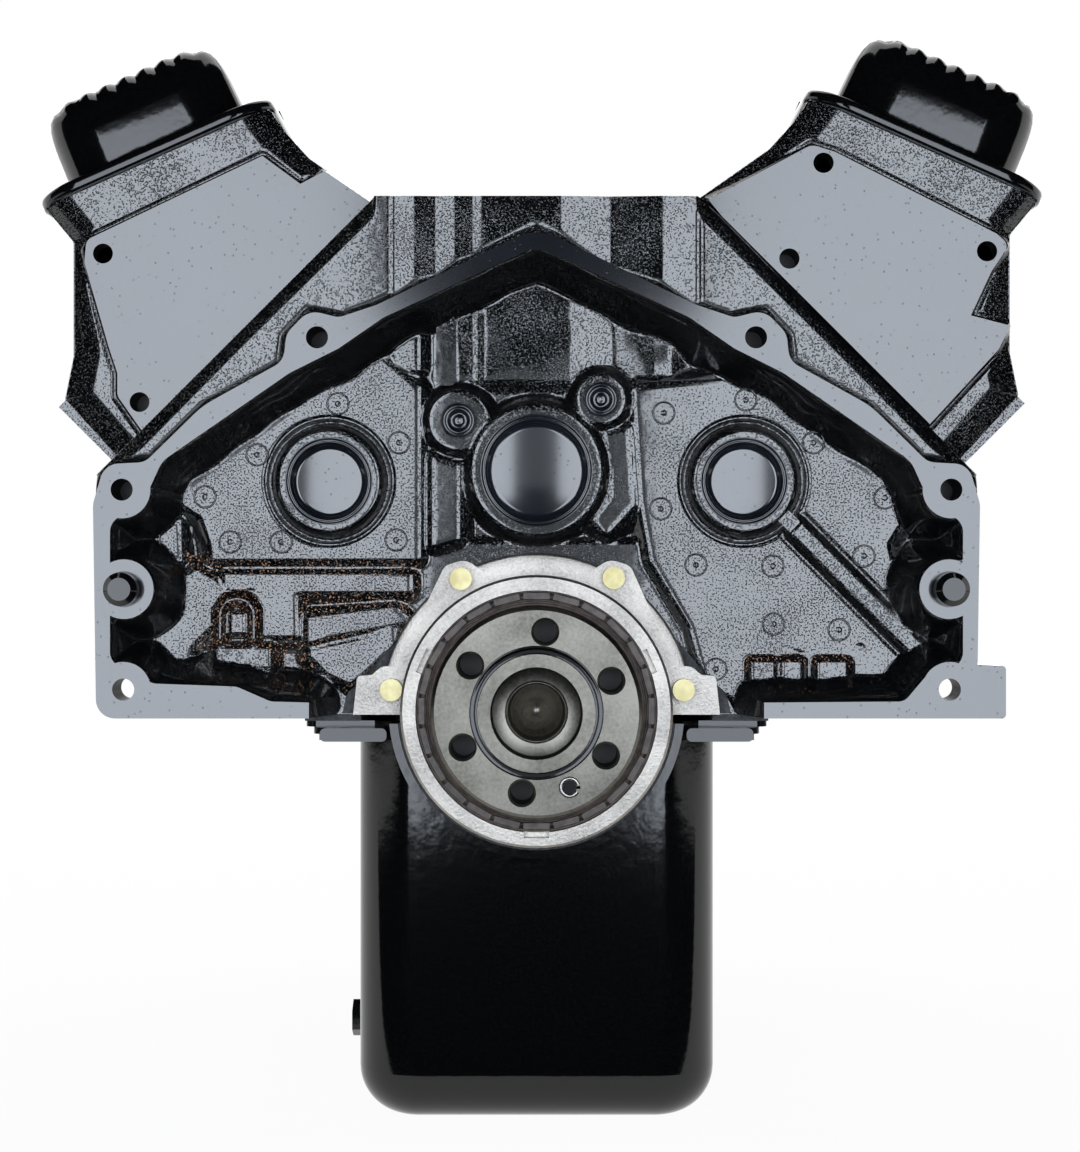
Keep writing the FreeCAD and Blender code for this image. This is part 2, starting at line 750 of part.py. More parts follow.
def rear_seal_housing():
    foot = slab(housing_outline(), seal_pad_y - gasket_thickness - 9, seal_pad_y - gasket_thickness)
    foot_y = seal_pad_y - gasket_thickness
    lower = rod(housing_barrel_radius, (0, foot_y - 12, 0), (0, foot_y, 0))
    barrel = rod(housing_barrel_radius, (0, housing_rear_y, 0), (0, seal_pad_y - gasket_thickness, 0))
    lugs = [rod(housing_lug, (x, foot_y - 9, z), (x, foot_y, z)) for x, z in housing_screw_places()]
    housing = fuse([foot, lower, barrel] + lugs)
    edge = [e for e in housing.Edges if abs(e.CenterOfMass.y - housing_rear_y) < 0.01]
    housing = housing.makeChamfer(1.2, edge)
    bore = rod(seal_outer_radius, (0, 0, 0), (0, seal_pad_y - 8, 0))
    throat = rod(seal_land_radius + 2.5, (0, 0, 0), (0, 60, 0))
    screws = [rod(3.5, (x, 0, z), (x, 60, z)) for x, z in housing_screw_places()]
    notches = []
    for turn in (-90, 24, 156):
        x, z = math.cos(math.radians(turn)), math.sin(math.radians(turn))
        notch = box((-6, 0, seal_outer_radius - 4), (6, housing_rear_y + 5, seal_outer_radius + 2.4))
        notch.Placement = FreeCAD.Placement(vec(0, 0, 0), FreeCAD.Rotation(vec(0, 0, 1), vec(x, 0, z)))
        notches.append(notch)
    return cut(housing, [bore, throat] + screws + notches)


def rear_seal_gasket():
    top = housing_barrel_radius + 13.5
    half = [(0, top), (47, top, 28), (89, 21, 3), (94, pan_rail_z + 0.5)]
    sheet = slab(mirrored(half), seal_pad_y - gasket_thickness, seal_pad_y)
    holes = [rod(3.5, (x, 0, z), (x, 60, z)) for x, z in housing_screw_places()]
    return cut(sheet, [rod(seal_land_radius + 3.5, (0, 0, 0), (0, 60, 0))] + holes)


def rear_seal_screws():
    screws = []
    seat = seal_pad_y - gasket_thickness - 9
    for x, z in housing_screw_places():
        head = rod(5.3, (x, seat - 5, z), (x, seat, z))
        screws.append(head.fuse(rod(3.2, (x, seat - 1, z), (x, seal_pad_y + 13, z))))
    return Part.makeCompound(screws)


def rear_crank_seal():
    outer, inner = seal_outer_radius - 0.02, seal_land_radius + 0.08
    case = tube(outer, inner + 1.6, (0, housing_rear_y + 3, 0), (0, housing_rear_y + 5, 0))
    rim = tube(outer, outer - 1.6, (0, housing_rear_y + 3, 0), (0, seal_pad_y - 8, 0))
    lip = tube(inner + 2.2, inner, (0, housing_rear_y + 3, 0), (0, seal_pad_y - 10, 0))
    return fuse([case, rim, lip])


# Crankshaft

def pin_angles():
    """Crankpin angles seen from the flywheel, for even firing with cylinder 1 at top dead centre."""
    fired = {1: 0, 6: 120, 5: 240, 4: 360, 3: 480, 2: 600}
    bank = {n: 135.0 if n % 2 else 45.0 for n in fired}
    return {n: bank[n] - fired[n] for n in fired}, fired, bank


def throw_centre(n):
    angle = math.radians(pin_angles()[0][n])
    return crank_radius * math.cos(angle), crank_radius * math.sin(angle)


def cheek(y0, y1, pin_number, weight_angle):
    x, z = throw_centre(pin_number)
    hub = rod(main_journal_radius + 7, (0, y0, 0), (0, y1, 0))
    eye = rod(pin_radius + 5.5, (x, y0, z), (x, y1, z))
    web = box((0, y0, -pin_radius - 3), (crank_radius, y1, pin_radius + 3))
    web.Placement = FreeCAD.Placement(vec(0, 0, 0), FreeCAD.Rotation(vec(1, 0, 0), vec(x, 0, z)))
    weight = rod(counterweight_radius, (0, y0, 0), (0, y1, 0)).common(box((-90, y0, -58), (-8, y1, 58)))
    turned = math.radians(weight_angle)
    weight.Placement = FreeCAD.Placement(
        vec(0, 0, 0), FreeCAD.Rotation(vec(1, 0, 0), vec(math.cos(turned), 0, math.sin(turned)))
    )
    return fuse([hub, eye, web, weight])


def crankshaft():
    pieces = []
    mains = main_ys()
    half = main_journal_width / 2
    for rear, front in zip(mains, mains[1:]):
        n = cylinders_per_bank - len(pieces) // 7
        port_pin, starboard_pin = 2 * n - 1, 2 * n
        angle = pin_angles()[0][starboard_pin] - throw_splay / 2
        if port_pin == 1:
            angle = pin_angles()[0][port_pin] + throw_splay / 2
        y0, y1 = rear + half + 3, front - half - 3
        middle = (y0 + y1) / 2
        sx, sz = throw_centre(starboard_pin)
        px, pz = throw_centre(port_pin)
        pieces.append(cheek(y0, y0 + cheek_thickness, starboard_pin, angle))
        pieces.append(rod(pin_radius, (sx, y0 + 2, sz), (sx, middle, sz)))
        pieces.append(rod(pin_radius + 2, (sx, middle - 1.7, sz), (sx, middle + 1.7, sz)))
        pieces.append(rod(pin_radius + 2, (px, middle - 1.7, pz), (px, middle + 1.7, pz)))
        pieces.append(rod(pin_radius, (px, middle, pz), (px, y1 - 2, pz)))
        pieces.append(cheek(y1 - cheek_thickness, y1, port_pin, angle))
        pieces.append(rod(main_journal_radius, (0, rear - half - 3, 0), (0, rear + half + 5, 0)))
    pieces.append(rod(main_journal_radius, (0, mains[-1] - half - 5, 0), (0, mains[-1] + half + 4, 0)))
    pieces.append(rod(main_journal_radius, (0, 20, 0), (0, mains[0], 0)))
    land = rod(seal_land_radius, (0, 0, 0), (0, seal_pad_y - 0.5, 0))
    rear_edge = [e for e in land.Edges if abs(e.CenterOfMass.y) < 0.01]
    pieces.append(land.makeChamfer(seal_land_radius - flange_face_radius, rear_edge))
    pieces.append(rod(register_radius, (0, -register_height, 0), (0, 2, 0)))
    snout = rod(snout_radius, (0, mains[-1], 0), (0, snout_end_y, 0))
    nose_edge = [e for e in snout.Edges if abs(e.CenterOfMass.y - snout_end_y) < 0.01]
    pieces.append(snout.makeChamfer(1.5, nose_edge))
    shaft = fuse(pieces)
    holes = [
        rod(converter_pilot_radius, (0, -20, 0), (0, 6, 0)),
        rod(pilot_radius, (0, 0, 0), (0, 32, 0)),
        Part.makeCone(pilot_radius, 0, 7, vec(0, 32, 0), vec(0, 1, 0)),
        tube(register_radius + 2.6, register_radius, (0, -1, 0), (0, 1.2, 0)),
        rod(5.2, (0, snout_end_y - 40, 0), (0, snout_end_y + 1, 0)),
        box(
            (-key_width / 2, block_front_y - 2, snout_radius - 2.6),
            (key_width / 2, snout_end_y - 8, snout_radius + 5),
        ),
    ]
    for angle in flange_bolt_angles():
        x, z = flange_bolt_circle * math.cos(angle), flange_bolt_circle * math.sin(angle)
        holes.append(rod(flange_bolt_radius, (x, -1, z), (x, flange_bolt_depth, z)))
        holes.append(Part.makeCone(flange_bolt_radius + 1.1, flange_bolt_radius, 1.1, vec(x, 0, z), vec(0, 1, 0)))
    x, z = roll_pin_place()
    holes.append(rod(5.0, (x, -1, z), (x, 12, z)))
    return cut(shaft, holes).removeSplitter()


def flange_bolt_angles():
    """Six screws, parted to make room for the dowel at the lower right."""
    dowel = -65.9
    return [math.radians(dowel + side * step) for side in (-1, 1) for step in (34.4, 89.1, 149.7)]


def roll_pin_place():
    angle = math.radians(-65.9)
    return flange_bolt_circle * math.cos(angle), flange_bolt_circle * math.sin(angle)


def flywheel_dowel():
    x, z = roll_pin_place()
    sleeve = tube(4.98, 3.1, (x, -0.8, z), (x, 11.5, z))
    return sleeve.cut(box((x, -5, z - 0.7), (x + 8, 20, z + 0.7)))


def snout_key():
    half = key_width / 2 - 0.02
    return box((-half, block_front_y + 3, snout_radius - 2.6), (half, block_front_y + 23, snout_radius + 1.9))


# Camshaft

def lobe_profile(y, angle):
    """One lobe: the base circle, the nose circle and the two flanks tangent to both."""
    nose_radius = 7.0
    nose = lobe_base_radius + lobe_lift - nose_radius
    lean = math.acos((lobe_base_radius - nose_radius) / nose)
    cosine, sine = math.cos(lean), math.sin(lean)
    heel = [vec(lobe_base_radius * cosine, 0, side * lobe_base_radius * sine) for side in (-1, 1)]
    toe = [vec(nose + nose_radius * cosine, 0, side * nose_radius * sine) for side in (-1, 1)]
    edges = [
        Part.Arc(heel[1], vec(-lobe_base_radius, 0, 0), heel[0]).toShape(),
        Part.LineSegment(heel[0], toe[0]).toShape(),
        Part.Arc(toe[0], vec(nose + nose_radius, 0, 0), toe[1]).toShape(),
        Part.LineSegment(toe[1], heel[1]).toShape(),
    ]
    lobe = Part.Face(Part.Wire(edges)).extrude(vec(0, lobe_width, 0))
    turned = math.radians(angle)
    turn = FreeCAD.Rotation(vec(1, 0, 0), vec(math.cos(turned), 0, math.sin(turned)))
    lobe.Placement = FreeCAD.Placement(vec(0, y - lobe_width / 2, cam_height), turn)
    return lobe


def lobe_angle(side, y, kind):
    """Where a lobe points with cylinder 1 firing, from the firing order and a 110 degree lobe centre."""
    ys = bore_ys(side)
    order = min(range(cylinders_per_bank), key=lambda n: abs(ys[n] - y))
    cylinder = 2 * (cylinders_per_bank - order) - (1 if side == "port" else 0)
    fired, bank = pin_angles()[1][cylinder], pin_angles()[2][cylinder]
    after = 250 if kind == "exhaust" else 470
    return bank - (fired + after) / 2


def camshaft():
    pieces = [rod(12.5, (0, main_ys()[0] - 10, cam_height), (0, block_front_y + 2, cam_height))]
    for y in main_ys():
        half = cam_bearing_half + 0.2
        pieces.append(rod(cam_journal_radius, (0, y - half, cam_height), (0, y + half, cam_height)))
    for side in sides:
        for local_y, kind in valve_places():
            y = valve_y(side, local_y)
            pieces.append(lobe_profile(y, lobe_angle(side, y, kind)))
    pieces.append(rod(cam_journal_radius, (0, main_ys()[-1], cam_height), (0, block_front_y - 0.1, cam_height)))
    pieces.append(rod(cam_nose_radius, (0, block_front_y - 1, cam_height), (0, thrust_front_y() + 0.4, cam_height)))
    shaft = fuse(pieces)
    holes = cam_bolt_holes(4.2, thrust_front_y() - 14)
    return cut(shaft, holes).removeSplitter()


def thrust_front_y():
    return block_front_y + thrust_plate


def cam_thrust_plate():
    y0, y1 = block_front_y, thrust_front_y()
    hub = rod(33, (0, y0, cam_height), (0, y1, cam_height))
    low, high = cam_height - 9, cam_height + 9
    ears = [slab([(-43, low, 8), (-43, high, 8), (43, high, 8), (43, low, 8)], y0, y1)]
    tools = [rod(cam_nose_radius + 0.3, (0, y0 - 1, cam_height), (0, y1 + 1, cam_height))]
    return cut(fuse([hub] + ears), tools)


# Timing drive

def chain_span():
    """The pitch that makes the chain close on the two sprockets, the flank lean and the straight run."""
    pitch = 9.5
    for _ in range(40):
        small, large = (pitch / 2 / math.sin(math.pi / n) for n in (crank_teeth, cam_teeth))
        lean = math.asin((large - small) / cam_height)
        run = cam_height * math.cos(lean)
        arcs = crank_teeth * (math.pi - 2 * lean) + cam_teeth * (math.pi + 2 * lean)
        pitch = 2 * run / (chain_links - arcs / (2 * math.pi))
    return pitch, small, large, lean, run


def chain_point(travel):
    """Centre of a joint, travel pitches from the top of the cam sprocket, going to starboard."""
    pitch, small, large, lean, run = chain_span()
    upper = cam_teeth * (math.pi / 2 + lean) / (2 * math.pi)
    straight = run / pitch
    lower = chain_links / 2
    mirror = travel > lower
    s = chain_links - travel if mirror else travel
    if s <= upper:
        angle = math.pi / 2 - s * 2 * math.pi / cam_teeth
        x, z = large * math.cos(angle), cam_height + large * math.sin(angle)
    elif s <= upper + straight:
        along = (s - upper) * pitch
        x = large * math.cos(lean) - along * math.sin(lean)
        z = cam_height - large * math.sin(lean) - along * math.cos(lean)
    else:
        angle = -math.pi / 2 + (lower - s) * 2 * math.pi / crank_teeth
        x, z = small * math.cos(angle), small * math.sin(angle)
    return (-x if mirror else x), z


def timing_chain():
    """Inverted-tooth link packs, one for each pitch. The sprocket teeth fill the gaps between them."""
    pitch = chain_span()[0]
    links = []
    for n in range(chain_links):
        x0, z0 = chain_point(n)
        x1, z1 = chain_point((n + 1) % chain_links)
        half = pitch / 2 - 0.12
        toe = pitch * 0.17
        shape = [(-half, 3.6, 1), (-half, -0.6), (-toe, -4.4), (toe, -4.4), (half, -0.6), (half, 3.6, 1)]
        link = slab([(p[0], p[1]) for p in shape], sprocket_rear_y - 0.5, sprocket_rear_y + sprocket_width + 0.5)
        turn = math.atan2(z1 - z0, x1 - x0)
        spin = FreeCAD.Rotation(vec(0, 1, 0), -math.degrees(turn))
        link.Placement = FreeCAD.Placement(vec((x0 + x1) / 2, 0, (z0 + z1) / 2), spin)
        links.append(link)
    return Part.makeCompound(links)


def sprocket(teeth, height, first_angle, bore, hub_radius, hub_rear_y):
    pitch = chain_span()[0]
    radius = pitch / 2 / math.sin(math.pi / teeth)
    root = radius - 4.9 - chain_clearance
    rim = rod(root, (0, sprocket_rear_y, height), (0, sprocket_rear_y + sprocket_width, height))
    hub = rod(hub_radius, (0, hub_rear_y, height), (0, sprocket_rear_y + 1, height))
    cutters = []
    tip = radius - 2.4
    base_half, tip_half = pitch * 0.19, pitch * 0.05
    for n in range(teeth):
        tooth = slab([(root - 2, -base_half), (root, -base_half), (tip, -tip_half), (tip, tip_half), (root, base_half), (root - 2, base_half)],
                     sprocket_rear_y, sprocket_rear_y + sprocket_width)
        angle = first_angle + n * 360 / teeth
        tooth.Placement = FreeCAD.Placement(vec(0, 0, height), FreeCAD.Rotation(vec(0, 1, 0), -angle))
        cutters.append(tooth)
    wheel = rim.multiFuse(cutters + [hub])
    return wheel.cut(rod(bore, (0, 400, height), (0, 480, height)))


def crank_sprocket():
    wheel = sprocket(crank_teeth, 0, -90, snout_radius + 0.02, snout_radius + 5.5, block_front_y + 1.5)
    half = key_width / 2 + 0.02
    return wheel.cut(box((-half, 400, 0), (half, 480, snout_radius + 2.0)))


def cam_sprocket():
    wheel = sprocket(cam_teeth, cam_height, 90, 5.0, cam_journal_radius, thrust_front_y() + 0.4)
    windows = []
    for n in range(6):
        angle = math.radians(60 * n)
        x, z = 34 * math.cos(angle), cam_height + 34 * math.sin(angle)
        windows.append(rod(8, (x, 400, z), (x, 480, z)))
    dish = tube(45, 24, (0, sprocket_rear_y + sprocket_width - 4, cam_height), (0, 480, cam_height))
    return cut(wheel, windows + [dish] + cam_bolt_holes(4.2, 400))


def cam_bolt_holes(radius, start_y):
    holes = []
    for n in range(3):
        angle = math.radians(90 + 120 * n)
        x, z = 12 * math.cos(angle), cam_height + 12 * math.sin(angle)
        holes.append(rod(radius, (x, start_y, z), (x, 480, z)))
    return holes


def cam_sprocket_bolts():
    bolts = []
    seat = sprocket_rear_y + sprocket_width
    for n in range(3):
        angle = math.radians(90 + 120 * n)
        x, z = 12 * math.cos(angle), cam_height + 12 * math.sin(angle)
        head = hexagon(7.2, (x, seat, z), (x, seat + 5.5, z))
        bolts.append(head.fuse(rod(4.15, (x, thrust_front_y() - 13, z), (x, seat + 1, z))))
    return Part.makeCompound(bolts)


def timing_outline(grow):
    """The cover's outline, grown outwards from its inner wall."""
    wide, top = 84.0 + grow, cam_height + 71.0 + grow
    return mirrored([
        (0, top, 60), (58 + grow, top - 4, 44), (76 + grow, cam_height, 60), (wide, 30, 20), (wide, pan_rail_z),
    ])


def timing_cover():
    gasket_y = block_front_y + gasket_thickness
    flange = slab(timing_outline(11), gasket_y, gasket_y + 2.4)
    shell = slab(timing_outline(0), gasket_y, cover_front_y)
    front = [e for e in shell.Edges if abs(e.CenterOfMass.y - cover_front_y) < 0.01 and e.CenterOfMass.z > 0]
    shell = shell.makeFillet(9, front)
    boss = rod(front_boss_radius, (0, gasket_y + 12, 0), (0, cover_front_y + 6, 0))
    lower = box((-84, gasket_y, pan_rail_z), (84, cover_front_y, pan_rail_z + 1))
    hollow = slab(timing_outline(-cover_skin), 400, cover_front_y - cover_skin)
    inner_y = cover_front_y - cover_skin
    back = [e for e in hollow.Edges if abs(e.CenterOfMass.y - inner_y) < 0.01 and e.CenterOfMass.z > 0]
    hollow = hollow.makeFillet(7.5, back)
    hollow = hollow.fuse(rod(front_boss_radius - 2.4, (0, 400, 0), (0, cover_front_y - cover_skin, 0)))
    cover = fuse([flange, shell, boss, lower])
    tools = [hollow, rod(31.5, (0, 400, 0), (0, 500, 0))]
    tools += [rod(3.4, (x, 400, z), (x, 500, z)) for x, z in timing_bolt_places()]
    return cut(cover, tools)


def timing_bolt_places():
    half = [(31, cam_height + 76), (74, cam_height + 47), (86.4, 74), (90.4, 36), (90.4, 8)]
    return half + [(-x, z) for x, z in half]


def timing_gasket():
    y0, y1 = block_front_y, block_front_y + gasket_thickness
    sheet = slab(timing_outline(11), y0, y1)
    holes = [rod(3.4, (x, 400, z), (x, 500, z)) for x, z in timing_bolt_places()]
    return cut(sheet, [slab(timing_outline(-cover_skin), 400, 500)] + holes)


def timing_bolts():
    seat = block_front_y + gasket_thickness + 2.4
    bolts = []
    for x, z in timing_bolt_places():
        head = hexagon(6.2, (x, seat, z), (x, seat + 5, z))
        bolts.append(head.fuse(rod(3.2, (x, block_front_y, z), (x, seat + 1, z))))
    return Part.makeCompound(bolts)


def front_crank_seal():
    return tube(31.45, snout_radius + 0.1, (0, cover_front_y - 4, 0), (0, cover_front_y + 5, 0))


# Cylinder heads, drawn in head axes: x outwards, y along the head, z up from the head's deck

def head_section():
    outer = on_rail(rail_width, 0, 0)
    return [
        (deck_inner_u, 0), (-111.8, 41), (-112.6, 58, 6), (rail_inner[0], rail_inner[1]), (outer[0], outer[2]),
        (0, 94, 6), (14, 80, 10), (40, 54, 14), (58, 42, 8), (60, 0),
    ]


def end_pad(rear):
    """The machined accessory pad on each end of the head."""
    if rear:
        return [
            (-115, 2), (-98.5, 56, 7), (-88, 61.5, 8), (-5, 88.7), (3, 89, 4), (6, 74, 4), (14, 52), (31, 62),
            (35, 50, 4), (37, 1), (-105, 1),
        ]
    return [
        (-118, 1), (-112.5, 30), (-99.5, 34), (-96, 57), (-5.5, 89, 5), (3, 82, 5), (24, 44, 4), (30, 32, 5),
        (38, 24, 6), (42, 1),
    ]


def head_end_holes(rear):
    return [(-88.3, 53.8), (-67.3, 9.5), (-2.4, 79.4)] if rear else [(-6.5, 78.5), (32.5, 14.0)]


def intake_face_frame():
    """Base point and lean of the intake face."""
    return deck_inner_u, math.atan2(-111.8 - deck_inner_u, 41.0)


def exhaust_flanges():
    flanges = []
    for n in range(cylinders_per_bank):
        centre = head_length / 2 + (n - 1) * bore_spacing
        flanges.append(box((40, centre - 36, 4), (66, centre + 36, 48)))
    return flanges


def head_ports():
    """Intake and exhaust ports, plug holes and the coolant passages at both ends of the intake face."""
    tools = []
    base, lean = intake_face_frame()
    for n in range(cylinders_per_bank):
        centre = head_length / 2 + (n - 1) * bore_spacing
        port = slab([(-5, 7, 5), (port_depth, 7, 0), (port_depth, 35, 0), (-5, 35, 5)], centre - 14, centre + 14)
        port.Placement = FreeCAD.Placement(vec(base, 0, 0), FreeCAD.Rotation(vec(0, 1, 0), math.degrees(lean)))
        tools.append(port)
        tools.append(rod(15, (75, centre + 8, 29), (66 - port_depth, centre + 8, 33)))
        tools.append(rod(7, (80, centre - 24, 12), (8, centre - 24, 12)))
        for step in (-30, 30):
            tools.append(rod(4.2, (75, centre + step, 27), (48, centre + step, 27)))
    for y in (14.0, head_length - 14.0):
        tools.append(rod(9, (base - 5, y, 22), (base + 25, y, 22)))
    for y in intake_bolt_ys():
        tools.append(rod(4.2, (base - 5, y, 12), (base + 22, y, 12)))
    return tools


def intake_bolt_ys():
    middle = head_length / 2
    inner, outer = bore_spacing / 2, 1.5 * bore_spacing - 18
    return [middle - outer, middle - inner, middle + inner, middle + outer]


def head_bolt_places():
    """x and y of each head bolt, with the height of its seat."""
    places = []
    for n in range(cylinders_per_bank + 1):
        y = head_length / 2 + (n - cylinders_per_bank / 2) * bore_spacing
        y = min(max(y, head_bolt_inset), head_length - head_bolt_inset)
        places.append((-58.0, y, 40.0))
        places.append((50.0, y, 20.0))
    return places


def rocker_well():
    """The open box under the cover, with its floor square to the valves."""
    half = 12.0
    well = box((rail_wall, half, -rocker_well_depth), (rail_width - rail_wall, head_length - half, 20))
    return rail_frame(well)


def valve_holes():
    tools = []
    for y, kind in valve_places():
        radius = intake_valve_radius if kind == "intake" else exhaust_valve_radius
        tools.append(rod(stem_radius + running_clearance, on_rail(valve_t, y, -120), on_rail(valve_t, y, 30)))
        seat = on_rail(valve_t, y, valve_seat_n())
        throat = on_rail(valve_t, y, valve_seat_n() + 16)
        tools.append(rod(radius - 4, seat, throat))
        tools.append(rod(radius + 1, on_rail(valve_t, y, valve_seat_n() - 30), on_rail(valve_t, y, valve_seat_n())))
        tools.append(pushrod_hole(y))
        tools.append(rod(4.6, on_rail(stud_t, y, -rocker_well_depth - 14), on_rail(stud_t, y, 0)))
    return tools


def valve_seat_n():
    return -86.0


def pushrod_line(y):
    """The centres of a pushrod's two ball ends, in head axes."""
    low = (-cam_height / root_two, y, lifter_top_v() - head_deck + pushrod_ball + 0.05)
    return low, on_rail(pushrod_t, y, 2.2 - pushrod_ball)


def pushrod_hole(y):
    """The pushrod's clearance hole, from below the head's deck up into the rocker well."""
    low, top = pushrod_line(y)
    share = (-6 - low[2]) / (top[2] - low[2])
    foot = (low[0] + (top[0] - low[0]) * share, y, -6)
    return rod(6.5, foot, top)


def lifter_top_v():
    return cam_height / root_two + lobe_base_radius + lobe_lift + seat_gap + lifter_length


def cylinder_head():
    body = slab([(p[0], p[1]) + tuple(p[2:]) for p in head_section()], 6, head_length - 6)
    pads = [slab(end_pad(True), 0, 8), slab(end_pad(False), head_length - 8, head_length)]
    head = body.multiFuse(pads + exhaust_flanges())
    tools = [rocker_well()] + head_ports() + valve_holes()
    for n in range(cylinders_per_bank):
        centre = head_length / 2 + (n - 1) * bore_spacing
        chamber = rod(bore_radius - 8, (-4, centre, -1), (-4, centre, 9))
        tools.append(chamber)
    for rear, y0, y1 in ((True, -1, 20), (False, head_length - 20, head_length + 1)):
        for x, z in head_end_holes(rear):
            tools.append(rod(4.9, (x, y0, z), (x, y1, z)))
    for x, y, seat in head_bolt_places():
        tools.append(rod(5.7, (x, y, -1), (x, y, 90)))
        tools.append(rod(11, (x, y, seat), (x, y, 140)))
    return cut(head, tools).removeSplitter()


def head_gasket_sheet():
    sheet = box((valley_wall_u - 2, 4, -head_gasket), (deck_outer_u - 12, head_length - 4, 0))
    tools = []
    for n in range(cylinders_per_bank):
        centre = head_length / 2 + (n - 1) * bore_spacing
        tools.append(rod(bore_radius + 0.6, (0, centre, -5), (0, centre, 5)))
    for x, y, _ in head_bolt_places():
        tools.append(rod(5.8, (x, y, -5), (x, y, 5)))
    return cut(sheet, tools)


def head_bolts():
    bolts = []
    for x, y, seat in head_bolt_places():
        head = hexagon(9.2, (x, y, seat), (x, y, seat + 9))
        bolts.append(head.fuse(rod(5.5, (x, y, -head_gasket), (x, y, seat + 1))))
    return Part.makeCompound(bolts)


# Valve gear, in head axes

def rocker_arm(y):
    """A pressed rocker: a channel that dips over its pivot ball, from the pushrod cup to the valve tip."""
    tip_n = 6.0
    spine = [
        (pushrod_t - 6, 2), (pushrod_t + 8, 3), (stud_t - 9, -5, 4), (stud_t + 9, -5, 4), (valve_t - 12, tip_n),
        (valve_t + 6, tip_n), (valve_t + 6, tip_n + 4), (stud_t + 12, 7, 8), (stud_t - 12, 7, 8), (pushrod_t - 6, 8),
    ]
    arm = slab(spine, y - 9, y + 9)
    cavity = rod(8.5, (stud_t, y, -2), (stud_t, y, 30))
    slot = rod(5.6, (stud_t, y, -20), (stud_t, y, 30))
    return rail_frame(cut(arm, [cavity, slot]))


def rocker_stud(y):
    stud = rod(4.55, (stud_t, y, -rocker_well_depth - 13), (stud_t, y, 18))
    collar = hexagon(7.5, (stud_t, y, -rocker_well_depth), (stud_t, y, -rocker_well_depth + 5))
    return rail_frame(stud.fuse(collar))


def rocker_nut(y):
    nut = hexagon(8.0, (stud_t, y, 5.6), (stud_t, y, 15))
    ball = rod(8.4, (stud_t, y, -1.9), (stud_t, y, 5.5))
    return rail_frame(nut.fuse(ball).cut(rod(4.6, (stud_t, y, -5), (stud_t, y, 20))))


def valve(y, kind):
    radius = intake_valve_radius if kind == "intake" else exhaust_valve_radius
    n = valve_seat_n()
    stem = rod(stem_radius, (valve_t, y, n - 2), (valve_t, y, 5.7))
    disc = rod(radius, (valve_t, y, n - 5.3), (valve_t, y, n - 0.3))
    return rail_frame(stem.fuse(disc))


def valve_spring(y):
    floor = -rocker_well_depth
    coils = [tube(spring_radius, spring_radius - 4.2, (valve_t, y, floor), (valve_t, y, floor + 5))]
    turns = 4
    step = (spring_height - 5 - 5) / turns
    for n in range(turns):
        z = floor + 5 + step * n
        top = z + step - 5 + 0.01
        coils.append(tube(spring_radius - 1.4, spring_radius - 2.8, (valve_t, y, z), (valve_t, y, top)))
        coils.append(tube(spring_radius, spring_radius - 4.2, (valve_t, y, z + step - 5), (valve_t, y, z + step)))
    return rail_frame(fuse(coils))


def stem_seal(y):
    """The umbrella seal on the valve guide, inside the spring."""
    floor = -rocker_well_depth
    seal = rod(8.5, (valve_t, y, floor), (valve_t, y, floor + 12))
    return rail_frame(seal.cut(rod(stem_radius + 0.05, (valve_t, y, -60), (valve_t, y, 20))))


def spring_retainer(y):
    top = -rocker_well_depth + spring_height - 5
    cap = rod(spring_radius - 1, (valve_t, y, top), (valve_t, y, top + 4))
    return rail_frame(cap.cut(rod(stem_radius + 0.02, (valve_t, y, -60), (valve_t, y, 20))))


def pushrod(y):
    """From the lifter's cup to the rocker's cup, with a ball at each end."""
    low, top = pushrod_line(y)
    balls = [Part.makeSphere(pushrod_ball, vec(*end)) for end in (low, top)]
    return rod(pushrod_ball - 0.4, low, top).multiFuse(balls)


def for_each_valve(make, wanted=None):
    pieces = []
    for side in sides:
        for y, kind in valve_places():
            if wanted in (None, kind):
                pieces.append(on_head(make(y) if wanted is None else make(y, kind), side))
    return Part.makeCompound(pieces)


def lifters():
    pieces = []
    start = cam_height / root_two + lobe_base_radius + lobe_lift + seat_gap
    for side in sides:
        for local_y, _ in valve_places():
            y = valve_y(side, local_y)
            u = -cam_height / root_two
            body = rod(lifter_radius, bank_point(side, u, y, start), bank_point(side, u, y, start + lifter_length))
            waist_ends = [bank_point(side, u, y, start + v) for v in (18, 26)]
            waist = tube(lifter_radius + 1, lifter_radius - 1.2, *waist_ends)
            pieces.append(body.cut(waist))
    return Part.makeCompound(pieces)


# Valve covers, drawn with x across the rail and z above it

def cover_outline(inset, y_inset):
    width = rail_width + 2 * cover_flange_overhang
    x0, x1 = -cover_flange_overhang + inset, width - cover_flange_overhang - inset
    y0, y1 = -1 + y_inset, head_length + 1 - y_inset
    return x0, x1, y0, y1


def rounded_plan(x0, x1, y0, y1, z, radius):
    """A rounded rectangle in plan, as a wire at height z."""
    flat = outline([(x0, y0, radius), (x1, y0, radius), (x1, y1, radius), (x0, y1, radius)])
    flat.Placement = FreeCAD.Placement(vec(0, 0, z), FreeCAD.Rotation(vec(1, 0, 0), -90))
    return flat


